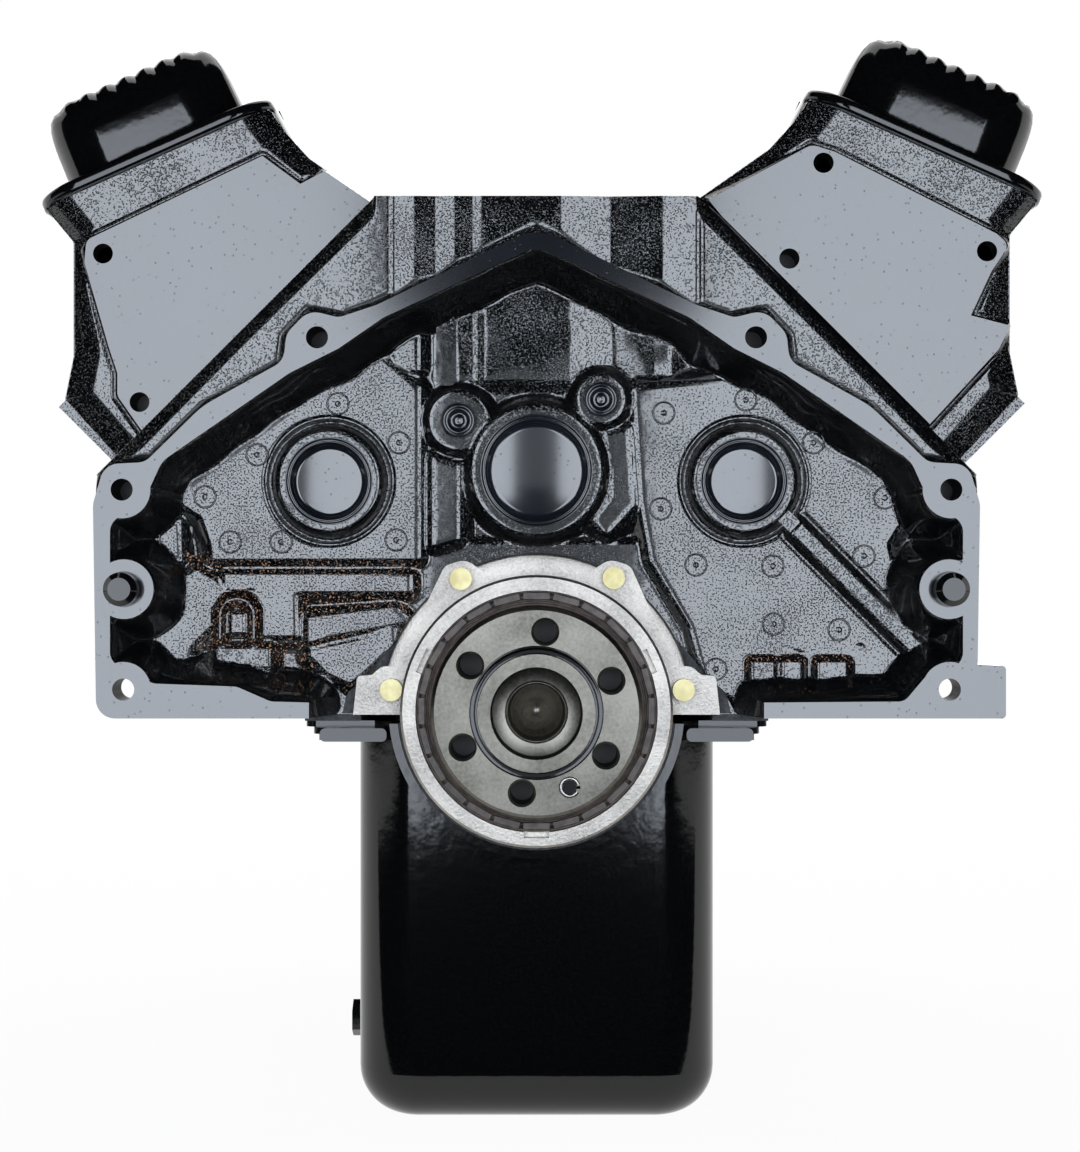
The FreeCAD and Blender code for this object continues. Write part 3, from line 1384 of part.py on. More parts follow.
def cover_skin_solid(shrink):
    """The cover's domed body, as a loft from its foot to its crown."""
    z0 = cover_gasket if shrink == 0 else -1
    top = cover_gasket + cover_height - shrink
    sections = [
        (14.5, 11.0, z0, 20), (15.0, 12.0, top * 0.55, 19), (16.5, 14.5, top * 0.78, 18),
        (20.0, 19.0, top * 0.92, 16), (27.0, 27.0, top, 13),
    ]
    wires = []
    for inset, end_inset, z, radius in sections:
        x0, x1, y0, y1 = cover_outline(inset + shrink, end_inset + shrink)
        wires.append(rounded_plan(x0, x1, y0, y1, z, radius))
    return Part.makeLoft(wires, True, False)


def valve_cover():
    x0, x1, y0, y1 = cover_outline(0, 0)
    flange = Part.Face(rounded_plan(x0, x1, y0, y1, cover_gasket, 22)).extrude(vec(0, 0, 5.0))
    body = cover_skin_solid(0)
    cover = flange.fuse(body)
    hollow = cover_skin_solid(cover_wall)
    flutes = []
    left, right, _, _ = cover_outline(22.0, 0)
    pitch = (right - left) / cover_flutes
    crown = cover_gasket + cover_height
    radius = pitch * 0.62
    for n in range(cover_flutes):
        x = left + (n + 0.5) * pitch
        z = crown + radius - 1.2
        flutes.append(rod(radius, (x, 30, z), (x, head_length - 30, z)))
    holes = [rod(3.4, (x, y, -5), (x, y, 80)) for x, y in cover_bolt_places()]
    return cut(cover, [hollow] + flutes + holes)


def cover_bolt_places():
    """Screws through the flange, beside the cover's body."""
    x0, x1, _, _ = cover_outline(6.0, 0)
    return [(x, y) for x in (x0, x1) for y in (70.0, head_length - 70.0)]


def valve_cover_gasket():
    x0, x1, y0, y1 = cover_outline(cover_flange_overhang, 1)
    sheet = Part.Face(rounded_plan(x0, x1, y0, y1, 0, 20)).extrude(vec(0, 0, cover_gasket))
    x0, x1, y0, y1 = cover_outline(cover_flange_overhang + rail_wall, 1 + 12)
    inside = Part.Face(rounded_plan(x0, x1, y0, y1, -1, 12)).extrude(vec(0, 0, cover_gasket + 2))
    holes = [rod(3.4, (x, y, -5), (x, y, 80)) for x, y in cover_bolt_places()]
    return cut(sheet, [inside] + holes)


def valve_cover_bolts():
    bolts = []
    for x, y in cover_bolt_places():
        head = hexagon(6.0, (x, y, cover_gasket + 5), (x, y, cover_gasket + 10))
        bolts.append(head.fuse(rod(3.2, (x, y, 0), (x, y, cover_gasket + 6))))
    return Part.makeCompound(bolts)


# Oil pan

def pan_bolt_ys():
    return [60.0 + n * 68.0 for n in range(6)]


def pan_top():
    return pan_rail_z - pan_gasket


def pan_solid(shrink):
    """The deep sump at the rear and the shallow tray ahead of it."""
    top = pan_top() + (20 if shrink else 0)
    half = sump_half_width - shrink
    sump_floor = -sump_depth + shrink
    tray_floor = -shallow_depth + shrink
    rear, front = sump_rear_y + shrink, sump_front_y - shrink
    sump_mid = (sump_floor + top) / 2
    sump = Part.makeBox(2 * half, front - rear, top - sump_floor, vec(-half, rear, sump_floor))
    upright = [e for e in sump.Edges if abs(e.CenterOfMass.z - sump_mid) < 1 and e.Length > 50]
    sump = sump.makeFillet(30 - shrink, upright)
    foot = [e for e in sump.Edges if abs(e.CenterOfMass.z - sump_floor) < 0.01]
    sump = sump.makeFillet(24 - shrink, foot)
    end = pan_front_y() - shrink
    tray = Part.makeBox(2 * half, end - rear - 60, top - tray_floor, vec(-half, rear + 60, tray_floor))
    corners = [e for e in tray.Edges if abs(e.CenterOfMass.z - tray_floor) < 0.01 and e.BoundBox.YLength > 50]
    tray = tray.makeFillet(22 - shrink, corners)
    return sump.fuse(tray)


def pan_front_y():
    return cover_front_y - 2.0


def upright_edges(shape):
    flat = [e for e in shape.Edges if e.BoundBox.XLength < 0.01 and e.BoundBox.YLength < 0.01]
    return [e for e in flat if e.BoundBox.ZLength > 1]


def oil_pan():
    body = pan_solid(0)
    top = pan_top()
    low = top - pan_flange_thickness
    rails = box((-skirt_half_width, sump_rear_y + 9, low), (skirt_half_width, pan_front_y(), top))
    rails = rails.makeFillet(6, upright_edges(rails))
    cradle = tube(cradle_rim_radius, rear_cradle_radius, (0, 13, 0), (0, 33, 0))
    pan = body.multiFuse([rails, cradle.common(box((-80, 0, -80), (80, 60, top)))])
    hollow = pan_solid(pan_wall)
    front_notch = rod(front_boss_radius + pan_gasket, (0, 400, 0), (0, 500, 0))
    rear_notch = rod(rear_cradle_radius, (0, -10, 0), (0, sump_rear_y + 20, 0))
    inside = sump_half_width - pan_wall
    floor_clear = box((-inside, sump_rear_y + 20, top - 8), (inside, pan_front_y() - pan_wall, top + 5))
    holes = [rod(3.5, (s * pan_bolt_x, y, -20), (s * pan_bolt_x, y, 5)) for s in (-1, 1) for y in pan_bolt_ys()]
    drain = rod(6.5, (-sump_half_width - 10, 120, drain_z()), (-sump_half_width + 20, 120, drain_z()))
    return cut(pan, [hollow, floor_clear, rear_notch, front_notch, drain] + holes)


def drain_z():
    return -sump_depth + 33.0


def oil_pan_gasket():
    top = pan_rail_z
    sheet = box((-skirt_half_width, 34, pan_top()), (skirt_half_width, block_front_y, top))
    inside = box((-sump_half_width + 2, 0, -20), (sump_half_width - 2, 500, 5))
    holes = [rod(3.5, (s * pan_bolt_x, y, -20), (s * pan_bolt_x, y, 5)) for s in (-1, 1) for y in pan_bolt_ys()]
    below = box((-90, 0, -90), (90, 500, top - pan_gasket))
    rear_seal = tube(rear_cradle_radius - 0.02, housing_barrel_radius + 0.02, (0, 14, 0), (0, 33, 0))
    front = pan_front_y()
    outer = front_boss_radius + pan_gasket - 0.02
    front_seal = tube(outer, front_boss_radius + 0.02, (0, front - 14, 0), (0, front, 0))
    ends = [rear_seal.common(below), front_seal.common(below)]
    return Part.makeCompound(cut(sheet, [inside] + holes).Solids + ends)


def oil_pan_straps():
    """Stiffening straps under the pan rails."""
    straps = []
    top = pan_top() - pan_flange_thickness
    lip_rear = sump_rear_y - 1
    lip_inner, lip_outer = cradle_rim_radius + 2, sump_half_width + 17
    for side in (-1, 1):
        x0, x1 = sorted((side * (sump_half_width + 2.5), side * (skirt_half_width - 4)))
        strap = box((x0, sump_rear_y + 3, top - 3.2), (x1, pan_front_y() - 26, top))
        strap = strap.makeFillet(8, upright_edges(strap))
        low = (min(side * lip_inner, side * lip_outer), lip_rear, top - strap_lip)
        high = (max(side * lip_inner, side * lip_outer), sump_rear_y + 16, top - 0.1)
        lip = box(low, high)
        behind = box((-200, lip_rear + 3, low[2] - 1), (200, 100, top - 3.2))
        ends = [e for e in lip.Edges if e.BoundBox.YLength > 1]
        strap = strap.fuse(lip.makeFillet(2.5, ends).cut(behind)).cut(pan_solid(-seat_gap))
        x = side * pan_bolt_x
        straps.append(cut(strap, [rod(3.5, (x, y, -20), (x, y, 5)) for y in pan_bolt_ys()]))
    return Part.makeCompound(straps)


def oil_pan_bolts():
    bolts = []
    seat = pan_top() - pan_flange_thickness - 3.2
    for side in (-1, 1):
        for y in pan_bolt_ys():
            x = side * pan_bolt_x
            head = hexagon(6.2, (x, y, seat - 5), (x, y, seat))
            bolts.append(head.fuse(rod(3.2, (x, y, seat - 1), (x, y, 10))))
    return Part.makeCompound(bolts)


def oil_drain_plug():
    x = -sump_half_width
    shank = rod(6.3, (x - 1, 120, drain_z()), (x + 9, 120, drain_z()))
    washer = rod(11, (x - 2, 120, drain_z()), (x, 120, drain_z()))
    head = hexagon(9.5, (x - 9, 120, drain_z()), (x - 1, 120, drain_z()))
    return fuse([shank, washer, head])


# Oil pump, hung under the rear main cap

def pump_gear(x, phase):
    """A spur gear with blunt teeth, on an upright axis."""
    outer, root = pump_gear_radius, pump_gear_radius - 6.4
    z0, z1 = pump_z + 0.1, pump_z + pump_gear_width
    wheel = rod(root, (x, pump_y, z0), (x, pump_y, z1))
    teeth = []
    for n in range(pump_gear_teeth):
        angle = phase + n * 360 / pump_gear_teeth
        tooth = Part.Face(Part.makePolygon([
            vec(root - 1, -2.6, 0), vec(root, -2.6, 0), vec(outer - 0.4, -1.0, 0), vec(outer - 0.4, 1.0, 0),
            vec(root, 2.6, 0), vec(root - 1, 2.6, 0), vec(root - 1, -2.6, 0),
        ])).extrude(vec(0, 0, z1 - z0))
        tooth.Placement = FreeCAD.Placement(vec(x, pump_y, z0), FreeCAD.Rotation(vec(0, 0, 1), angle))
        teeth.append(tooth)
    return wheel.multiFuse(teeth)


def pump_centres():
    """x of the driven and idling gears: their pitch circles touch."""
    pitch_radius = pump_gear_radius - 3.0
    return -pitch_radius, pitch_radius


def pump_drive_gear():
    x = pump_centres()[0]
    shaft = rod(6.3, (x, pump_y, pump_z + 1), (x, pump_y, pump_z + pump_gear_width + 22))
    return pump_gear(x, 0).fuse(shaft)


def pump_idler_gear():
    x = pump_centres()[1]
    gear = pump_gear(x, 180 + 180 / pump_gear_teeth)
    return gear.cut(rod(6.35, (x, pump_y, pump_z - 5), (x, pump_y, pump_z + 60)))


def pump_cavity():
    z0, z1 = pump_z, pump_z + pump_gear_width + 0.1
    return [rod(pump_gear_radius, (x, pump_y, z0 - 1), (x, pump_y, z1)) for x in pump_centres()]


def oil_pump_body():
    z0, z1 = pump_z, pump_z + pump_gear_width + 7
    left, right = pump_centres()
    body = fuse([rod(pump_gear_radius + 5, (x, pump_y, z0), (x, pump_y, z1)) for x in (left, right)]
                + [box((left, pump_y - pump_gear_radius - 5, z0), (right, pump_y + pump_gear_radius + 5, z1))])
    neck = box((left - 14, main_ys()[0] - 12, z1 - 3), (34, main_ys()[0] + 12, -52))
    shaft_way = box((left - 8, 0, z1 + 1), (left + 8, 200, -53))
    bearing = rod(6.35, (left, pump_y, z0 - 1), (left, pump_y, 0))
    idler_pin = rod(6.2, (right, pump_y, z0 + 0.1), (right, pump_y, z1 - 1))
    return cut(body.fuse(neck), pump_cavity() + [bearing, shaft_way]).fuse(idler_pin)


def oil_pump_cover():
    left, right = pump_centres()
    z0, z1 = pump_z - 5.0, pump_z - 0.0
    plate = fuse([rod(pump_gear_radius + 5, (x, pump_y, z0), (x, pump_y, z1)) for x in (left, right)]
                 + [box((left, pump_y - pump_gear_radius - 5, z0), (right, pump_y + pump_gear_radius + 5, z1))])
    bolts = [hexagon(5.5, (x, pump_y + s * (pump_gear_radius - 1), z0 - 4), (x, pump_y + s * (pump_gear_radius - 1), z0))
             for x in (left, right) for s in (-1, 1)]
    return plate.multiFuse(bolts)


def oil_pickup():
    """The suction pipe and its screened bell, down in the sump."""
    start = vec(pump_centres()[1] + pump_gear_radius + 5, pump_y, pump_z + 12)
    corner = vec(pump_centres()[1] + pump_gear_radius + 18, pump_y, pump_z + 12)
    foot = vec(pump_centres()[1] + pump_gear_radius + 18, pump_y + 70, -sump_depth + 34)
    pipe = fuse([
        Part.makeCylinder(8, (corner - start).Length, start, corner - start), Part.makeSphere(8, corner),
        Part.makeCylinder(8, (foot - corner).Length, corner, foot - corner), Part.makeSphere(8, foot),
    ])
    bell = Part.makeCone(34, 12, 16, foot - vec(0, 0, 16), vec(0, 0, 1))
    return pipe.fuse(bell).cut(Part.makeCone(31, 9, 14, foot - vec(0, 0, 16.01), vec(0, 0, 1)))


# Pistons

def piston_height(n):
    """Distance of a wrist pin from the crank axis, with cylinder 1 at top dead centre."""
    pins, _, bank = pin_angles()
    swing = math.radians(pins[n] - bank[n])
    return crank_radius * math.cos(swing) + math.sqrt(rod_length ** 2 - (crank_radius * math.sin(swing)) ** 2)


def piston_body():
    """A slipper-skirt piston, drawn about its wrist pin with the crown upwards."""
    outer = bore_radius - piston_clearance
    body = rod(outer, (0, 0, -skirt_drop), (0, 0, crown_height))
    bands = [tube(outer + 5, outer - ring_depth, (0, 0, z), (0, 0, z + width)) for z, width in ring_grooves()]
    hollow = rod(outer - skirt_wall, (0, 0, -skirt_drop - 1), (0, 0, crown_height - 9))
    ends = [box((-60, y, -skirt_drop - 1), (60, y + 30, 14)) for y in (-63, 33)]
    shell = cut(body, bands + [hollow] + ends)
    posts = []
    for y0, y1 in ((-33, -18), (18, 33)):
        posts.append(box((-16, y0, 0), (16, y1, crown_height - 8)))
        posts.append(rod(16, (0, y0, 0), (0, y1, 0)))
    return shell.multiFuse(posts).cut(rod(wrist_pin_radius, (0, -60, 0), (0, 60, 0)))


def ring_grooves():
    """The foot height and width of the two compression rings and the oil ring."""
    return [(crown_height - 7.5, 2.0), (crown_height - 13.5, 2.0), (crown_height - 21.5, 4.8)]


def piston_rings():
    rings = []
    for n, (z, width) in enumerate(ring_grooves()):
        ring = tube(bore_radius - 0.03, bore_radius - ring_depth, (0, 0, z + 0.05), (0, 0, z + width - 0.05))
        gap = box((0, -0.25, z - 1), (60, 0.25, z + width + 1))
        gap.Placement = FreeCAD.Placement(vec(0, 0, 0), FreeCAD.Rotation(vec(0, 0, 1), 120 * n))
        rings.append(ring.cut(gap))
    return rings


def piston(n):
    """Piston, wrist pin and rings, at the height that goes with the crank's rest angle."""
    side = "port" if n % 2 else "starboard"
    y = bore_ys(side)[cylinders_per_bank - (n + 1) // 2]
    wrist_pin = tube(wrist_pin_radius - 0.01, 7, (0, -32, 0), (0, 32, 0))
    whole = Part.makeCompound([piston_body(), wrist_pin] + piston_rings())
    turn = FreeCAD.Rotation(vec(0, 1, 0), sides[side] * bank_angle)
    whole.Placement = FreeCAD.Placement(vec(*bank_point(side, 0, y, piston_height(n))), turn)
    return whole


def both_heads(shape):
    return Part.makeCompound([on_head(shape, side) for side in sides])


def write(node, shape):
    shape.exportStep(f"parts/{node}.step")


def main():
    os.makedirs("parts", exist_ok=True)
    head = cylinder_head()
    gasket = head_gasket_sheet()
    cover = rail_frame(valve_cover())
    nodes = {
        "engine_block": engine_block(),
        "main_bearing_caps": main_bearing_caps(),
        "main_cap_bolts": main_cap_bolts(),
        "main_bearings": main_bearings(),
        "cam_bearings": cam_bearings(),
        "core_plugs": Part.makeCompound(rear_core_plugs() + side_core_plugs()),
        "cam_rear_plug": cam_rear_plug(),
        "oil_gallery_plugs": gallery_plugs(),
        "bellhousing_dowels": bellhousing_dowels(),
        "rear_seal_housing": rear_seal_housing(),
        "rear_seal_housing_gasket": rear_seal_gasket(),
        "rear_seal_housing_screws": rear_seal_screws(),
        "rear_crank_seal": rear_crank_seal(),
        "crankshaft": crankshaft(),
        "flywheel_dowel": flywheel_dowel(),
        "snout_key": snout_key(),
        "crank_sprocket": crank_sprocket(),
        "camshaft": camshaft(),
        "cam_thrust_plate": cam_thrust_plate(),
        "cam_sprocket": cam_sprocket(),
        "cam_sprocket_bolts": cam_sprocket_bolts(),
        "timing_chain": timing_chain(),
        "timing_cover": timing_cover(),
        "timing_cover_gasket": timing_gasket(),
        "timing_cover_bolts": timing_bolts(),
        "front_crank_seal": front_crank_seal(),
        "port_cylinder_head": on_head(head, "port"),
        "starboard_cylinder_head": on_head(head, "starboard"),
        "head_gaskets": both_heads(gasket),
        "head_bolts": both_heads(head_bolts()),
        "rocker_arms": for_each_valve(rocker_arm),
        "rocker_studs": for_each_valve(rocker_stud),
        "rocker_nuts": for_each_valve(rocker_nut),
        "intake_valves": for_each_valve(valve, "intake"),
        "exhaust_valves": for_each_valve(valve, "exhaust"),
        "valve_springs": for_each_valve(valve_spring),
        "valve_stem_seals": for_each_valve(stem_seal),
        "spring_retainers": for_each_valve(spring_retainer),
        "pushrods": for_each_valve(pushrod),
        "hydraulic_lifters": lifters(),
        "port_valve_cover": on_head(cover, "port"),
        "starboard_valve_cover": on_head(cover, "starboard"),
        "valve_cover_gaskets": both_heads(rail_frame(valve_cover_gasket())),
        "valve_cover_bolts": both_heads(rail_frame(valve_cover_bolts())),
        "oil_pan": oil_pan(),
        "oil_pan_gasket": oil_pan_gasket(),
        "oil_pan_straps": oil_pan_straps(),
        "oil_pan_bolts": oil_pan_bolts(),
        "oil_drain_plug": oil_drain_plug(),
        "oil_pump_body": oil_pump_body(),
        "oil_pump_cover": oil_pump_cover(),
        "oil_pump_drive_gear": pump_drive_gear(),
        "oil_pump_idler_gear": pump_idler_gear(),
        "oil_pickup": oil_pickup(),
    }
    for n in range(1, 2 * cylinders_per_bank + 1):
        nodes[f"piston_{n}"] = piston(n)
    for node, shape in nodes.items():
        write(node, shape)


main()
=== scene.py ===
import bpy
import json
import math
import numpy as np
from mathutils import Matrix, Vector


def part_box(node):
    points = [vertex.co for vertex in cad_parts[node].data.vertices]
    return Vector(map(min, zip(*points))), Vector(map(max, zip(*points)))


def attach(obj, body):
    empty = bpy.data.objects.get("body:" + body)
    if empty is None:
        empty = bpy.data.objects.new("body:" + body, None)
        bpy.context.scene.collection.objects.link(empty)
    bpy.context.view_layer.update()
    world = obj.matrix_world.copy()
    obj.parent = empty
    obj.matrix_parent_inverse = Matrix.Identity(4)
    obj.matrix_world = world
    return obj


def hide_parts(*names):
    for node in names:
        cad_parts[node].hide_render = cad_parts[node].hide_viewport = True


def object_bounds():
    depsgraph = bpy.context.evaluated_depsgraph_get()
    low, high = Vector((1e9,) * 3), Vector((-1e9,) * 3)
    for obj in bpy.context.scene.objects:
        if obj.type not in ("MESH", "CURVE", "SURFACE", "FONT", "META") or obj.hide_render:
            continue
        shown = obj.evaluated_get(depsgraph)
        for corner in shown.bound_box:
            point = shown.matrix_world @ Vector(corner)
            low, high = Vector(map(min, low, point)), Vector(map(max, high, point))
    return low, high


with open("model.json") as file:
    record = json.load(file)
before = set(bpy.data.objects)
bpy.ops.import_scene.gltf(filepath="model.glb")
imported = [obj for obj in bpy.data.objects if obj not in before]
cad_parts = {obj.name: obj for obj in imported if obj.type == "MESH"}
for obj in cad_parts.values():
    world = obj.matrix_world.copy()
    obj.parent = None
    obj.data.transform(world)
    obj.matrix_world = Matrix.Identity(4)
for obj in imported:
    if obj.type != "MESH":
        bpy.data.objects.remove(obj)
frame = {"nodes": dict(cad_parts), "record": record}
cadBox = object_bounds()
nodes = frame["nodes"]
mm = 0.001

deckHeight = 230.2  # from the crank's axis to each bank's deck
headLength = 366.0
headRear = {"port": 53.9, "starboard": 31.5}  # where each head's rear face stands along the crank
blockEnds = (5.5, 420.0)


# sRGB hex to linear, for every colour below
def hexColour(text):
    parts = [int(text[i:i + 2], 16) / 255 for i in (1, 3, 5)]
    return [c / 12.92 if c <= 0.04045 else ((c + 0.055) / 1.055) ** 2.4 for c in parts] + [1.0]


# adds one node, with its settings, and fills or links its sockets: by name, or as at0, at1 by number
def addNode(tree, kind, settings=None, **inputs):
    node = tree.nodes.new(kind)
    for key, value in (settings or {}).items():
        setattr(node, key, value)
    for key, value in inputs.items():
        socket = node.inputs[int(key[2:])] if key[:2] == "at" else node.inputs[key.replace("_", " ")]
        if isinstance(value, bpy.types.NodeSocket):
            tree.links.new(value, socket)
        else:
            socket.default_value = value
    return node


# an empty material: its tree, its shader and the object's own coordinates
def newMaterial(name):
    material = bpy.data.materials.new(name)
    material.use_nodes = True
    tree = material.node_tree
    tree.nodes.clear()
    shader = tree.nodes.new("ShaderNodeBsdfPrincipled")
    addNode(tree, "ShaderNodeOutputMaterial", Surface=shader.outputs[0])
    coords = tree.nodes.new("ShaderNodeTexCoord").outputs["Object"]
    return material, tree, shader, coords


# a colour from a factor, through stops of place and colour
def colourRamp(tree, factor, stops):
    node = addNode(tree, "ShaderNodeValToRGB", Fac=factor)
    elements = node.color_ramp.elements
    while len(elements) < len(stops):
        elements.new(0.5)
    for element, (place, colour) in zip(elements, stops):
        element.position = place
        element.color = hexColour(colour)
    return node.outputs[0]


# the shader's own fixed values, by socket name
def setShader(shader, values):
    for key, value in values.items():
        shader.inputs[key].default_value = value


castLook = {
    "paint": "#050607", "worn": "#0a0b0d", "bared": "#c59673", "rough": (0.06, 0.12),
    "grainMm": 0.45, "grainHeightMm": 0.12, "lumpMm": 6.0, "lumpHeightMm": 0.14,
    "patchMm": 16.7, "pits": (0.29, 0.37, 0.52), "chipMm": 0.5, "chips": (0.63, 0.66),
    "shader": {"IOR": 1.5, "Coat Weight": 0.85, "Coat Roughness": 0.06},
}


# sand-cast iron under gloss black enamel: the sand's grain shows through, and breaks the sheen into pits
def castEnamel():
    look = castLook
    material, tree, shader, coords = newMaterial("gloss_enamel_on_sand_cast_iron")
    grain = addNode(tree, "ShaderNodeTexNoise", Vector=coords, Scale=500 / look["grainMm"], Detail=1.0)
    lump = addNode(tree, "ShaderNodeTexNoise", Vector=coords, Scale=500 / look["lumpMm"], Detail=2.0)
    patch = addNode(tree, "ShaderNodeTexNoise", Vector=coords, Scale=500 / look["patchMm"], Detail=2.0)
    pitFrom, fewPits, manyPits = look["pits"]
    dense = addNode(
        tree, "ShaderNodeMapRange", Value=patch.outputs[0], From_Min=0.3, From_Max=0.7,
        To_Min=fewPits, To_Max=manyPits,
    )
    pits = addNode(
        tree, "ShaderNodeMapRange", Value=grain.outputs[0], From_Min=pitFrom, From_Max=dense.outputs[0],
    )
    low = addNode(
        tree, "ShaderNodeBump", Strength=0.5, Distance=look["lumpHeightMm"] * mm, Height=lump.outputs[0],
    )
    high = addNode(
        tree, "ShaderNodeBump", Strength=1.0, Distance=look["grainHeightMm"] * mm,
        Height=pits.outputs[0], Normal=low.outputs[0],
    )
    tree.links.new(high.outputs[0], shader.inputs["Normal"])
    tree.links.new(high.outputs[0], shader.inputs["Coat Normal"])
    tone = colourRamp(tree, lump.outputs[0], [(0.35, look["paint"]), (0.7, look["worn"])])
    # where the mesh is marked as worn, the paint is chipped to small coppery specks
    wear = addNode(tree, "ShaderNodeAttribute", {"attribute_name": "wear"}).outputs["Fac"]
    chips = addNode(tree, "ShaderNodeTexNoise", Vector=coords, Scale=500 / look["chipMm"], Detail=1.0)
    bare = addNode(
        tree, "ShaderNodeMapRange", Value=chips.outputs[0],
        From_Min=look["chips"][0], From_Max=look["chips"][1],
    )
    share = addNode(tree, "ShaderNodeMath", {"operation": "MULTIPLY"}, at0=bare.outputs[0], at1=wear)
    mixed = addNode(
        tree, "ShaderNodeMix", {"data_type": "RGBA"},
        at0=share.outputs[0], at6=tone, at7=hexColour(look["bared"]),
    )
    tree.links.new(mixed.outputs[2], shader.inputs["Base Color"])
    gloss = addNode(
        tree, "ShaderNodeMapRange", Value=lump.outputs[0], To_Min=look["rough"][0], To_Max=look["rough"][1],
    )
    tree.links.new(gloss.outputs[0], shader.inputs["Roughness"])
    setShader(shader, look["shader"])
    return material


milledLook = {
    "paint": "#0e1116", "worn": "#161a20", "waveMm": 15.0, "waveHeightMm": 0.12,
    "pitSpacingMm": 3.81, "pits": (0.05, 0.13), "pitHeightMm": 0.2,
    "shader": {"Roughness": 0.13, "IOR": 1.5, "Coat Weight": 0.85, "Coat Roughness": 0.1},
}


# milled iron under the same enamel: flat, so it takes an even grey sheen, with a rare pin hole
def milledEnamel():
    look = milledLook
    material, tree, shader, coords = newMaterial("gloss_enamel_on_milled_iron")
    wave = addNode(tree, "ShaderNodeTexNoise", Vector=coords, Scale=500 / look["waveMm"], Detail=1.0)
    cells = addNode(tree, "ShaderNodeTexVoronoi", Vector=coords, Scale=1000 / look["pitSpacingMm"])
    rare = addNode(
        tree, "ShaderNodeMapRange", Value=cells.outputs[0],
        From_Min=look["pits"][0], From_Max=look["pits"][1],
    )
    low = addNode(
        tree, "ShaderNodeBump", Strength=0.5, Distance=look["waveHeightMm"] * mm, Height=wave.outputs[0],
    )
    pits = addNode(
        tree, "ShaderNodeBump", Strength=0.7, Distance=look["pitHeightMm"] * mm, Height=rare.outputs[0],
        Normal=low.outputs[0],
    )
    tree.links.new(pits.outputs[0], shader.inputs["Normal"])
    tone = colourRamp(tree, wave.outputs[0], [(0.3, look["paint"]), (0.7, look["worn"])])
    tree.links.new(tone, shader.inputs["Base Color"])
    setShader(shader, look["shader"])
    return material


sheetLook = {
    "paint": "#050506", "thin": "#0d0e0f", "rough": (0.05, 0.13), "peelMm": 3.5, "peelHeightMm": 0.6,
    "dustMm": 0.588, "shader": {"IOR": 1.46},
}


# the enamel over pressed sheet steel: deep black and wet looking, with a faint orange peel
def sheetEnamel():
    look = sheetLook
    material, tree, shader, coords = newMaterial("gloss_enamel_on_pressed_steel")
    peel = addNode(tree, "ShaderNodeTexNoise", Vector=coords, Scale=500 / look["peelMm"], Detail=2.0)
    dust = addNode(
        tree, "ShaderNodeTexNoise", Vector=coords, Scale=500 / look["dustMm"], Detail=3.0, Roughness=0.7,
    )
    bump = addNode(
        tree, "ShaderNodeBump", Strength=0.1, Distance=look["peelHeightMm"] * mm, Height=peel.outputs[0],
    )
    tree.links.new(bump.outputs[0], shader.inputs["Normal"])
    tone = colourRamp(tree, dust.outputs[0], [(0.4, look["paint"]), (0.75, look["thin"])])
    tree.links.new(tone, shader.inputs["Base Color"])
    gloss = addNode(
        tree, "ShaderNodeMapRange", Value=dust.outputs[0], To_Min=look["rough"][0], To_Max=look["rough"][1],
    )
    tree.links.new(gloss.outputs[0], shader.inputs["Roughness"])
    setShader(shader, look["shader"])
    return material


# bare metal: its cut or cast grain breaks the sheen, and a thin stain of oil varies the tone
def bareMetal(name, dark, light, rough, grainMm, bumpMm, stretch=(1, 1, 1), stainMm=14.3):
    material, tree, shader, coords = newMaterial(name)
    mapping = addNode(tree, "ShaderNodeMapping", Vector=coords, Scale=stretch)
    grain = addNode(
        tree, "ShaderNodeTexNoise", Vector=mapping.outputs[0], Scale=500 / grainMm, Detail=3.0, Roughness=0.6,
    )
    stain = addNode(tree, "ShaderNodeTexNoise", Vector=coords, Scale=500 / stainMm, Detail=3.0)
    both = addNode(
        tree, "ShaderNodeMath", {"operation": "MULTIPLY_ADD"},
        at0=grain.outputs[0], at1=0.6, at2=stain.outputs[0],
    )
    tone = colourRamp(tree, both.outputs[0], [(0.55, dark), (1.0, light)])
    tree.links.new(tone, shader.inputs["Base Color"])
    gloss = addNode(
        tree, "ShaderNodeMapRange", Value=both.outputs[0], From_Min=0.4, From_Max=1.2,
        To_Min=rough[0], To_Max=rough[1],
    )
    tree.links.new(gloss.outputs[0], shader.inputs["Roughness"])
    bump = addNode(tree, "ShaderNodeBump", Strength=0.7, Distance=bumpMm * mm, Height=grain.outputs[0])
    tree.links.new(bump.outputs[0], shader.inputs["Normal"])
    setShader(shader, {"Metallic": 1.0})
    return material


# moulded rubber, pressed fibre, and the painted shade in screw holes: a dull, slightly mottled body colour
def dullSheet(name, dark, light, rough, grainMm):
    material, tree, shader, coords = newMaterial(name)
    grain = addNode(tree, "ShaderNodeTexNoise", Vector=coords, Scale=500 / grainMm, Detail=3.0)
    tone = colourRamp(tree, grain.outputs[0], [(0.35, dark), (0.65, light)])
    tree.links.new(tone, shader.inputs["Base Color"])
    bump = addNode(tree, "ShaderNodeBump", Strength=0.5, Distance=0.1 * mm, Height=grain.outputs[0])
    tree.links.new(bump.outputs[0], shader.inputs["Normal"])
    setShader(shader, {"Roughness": rough})
    return material


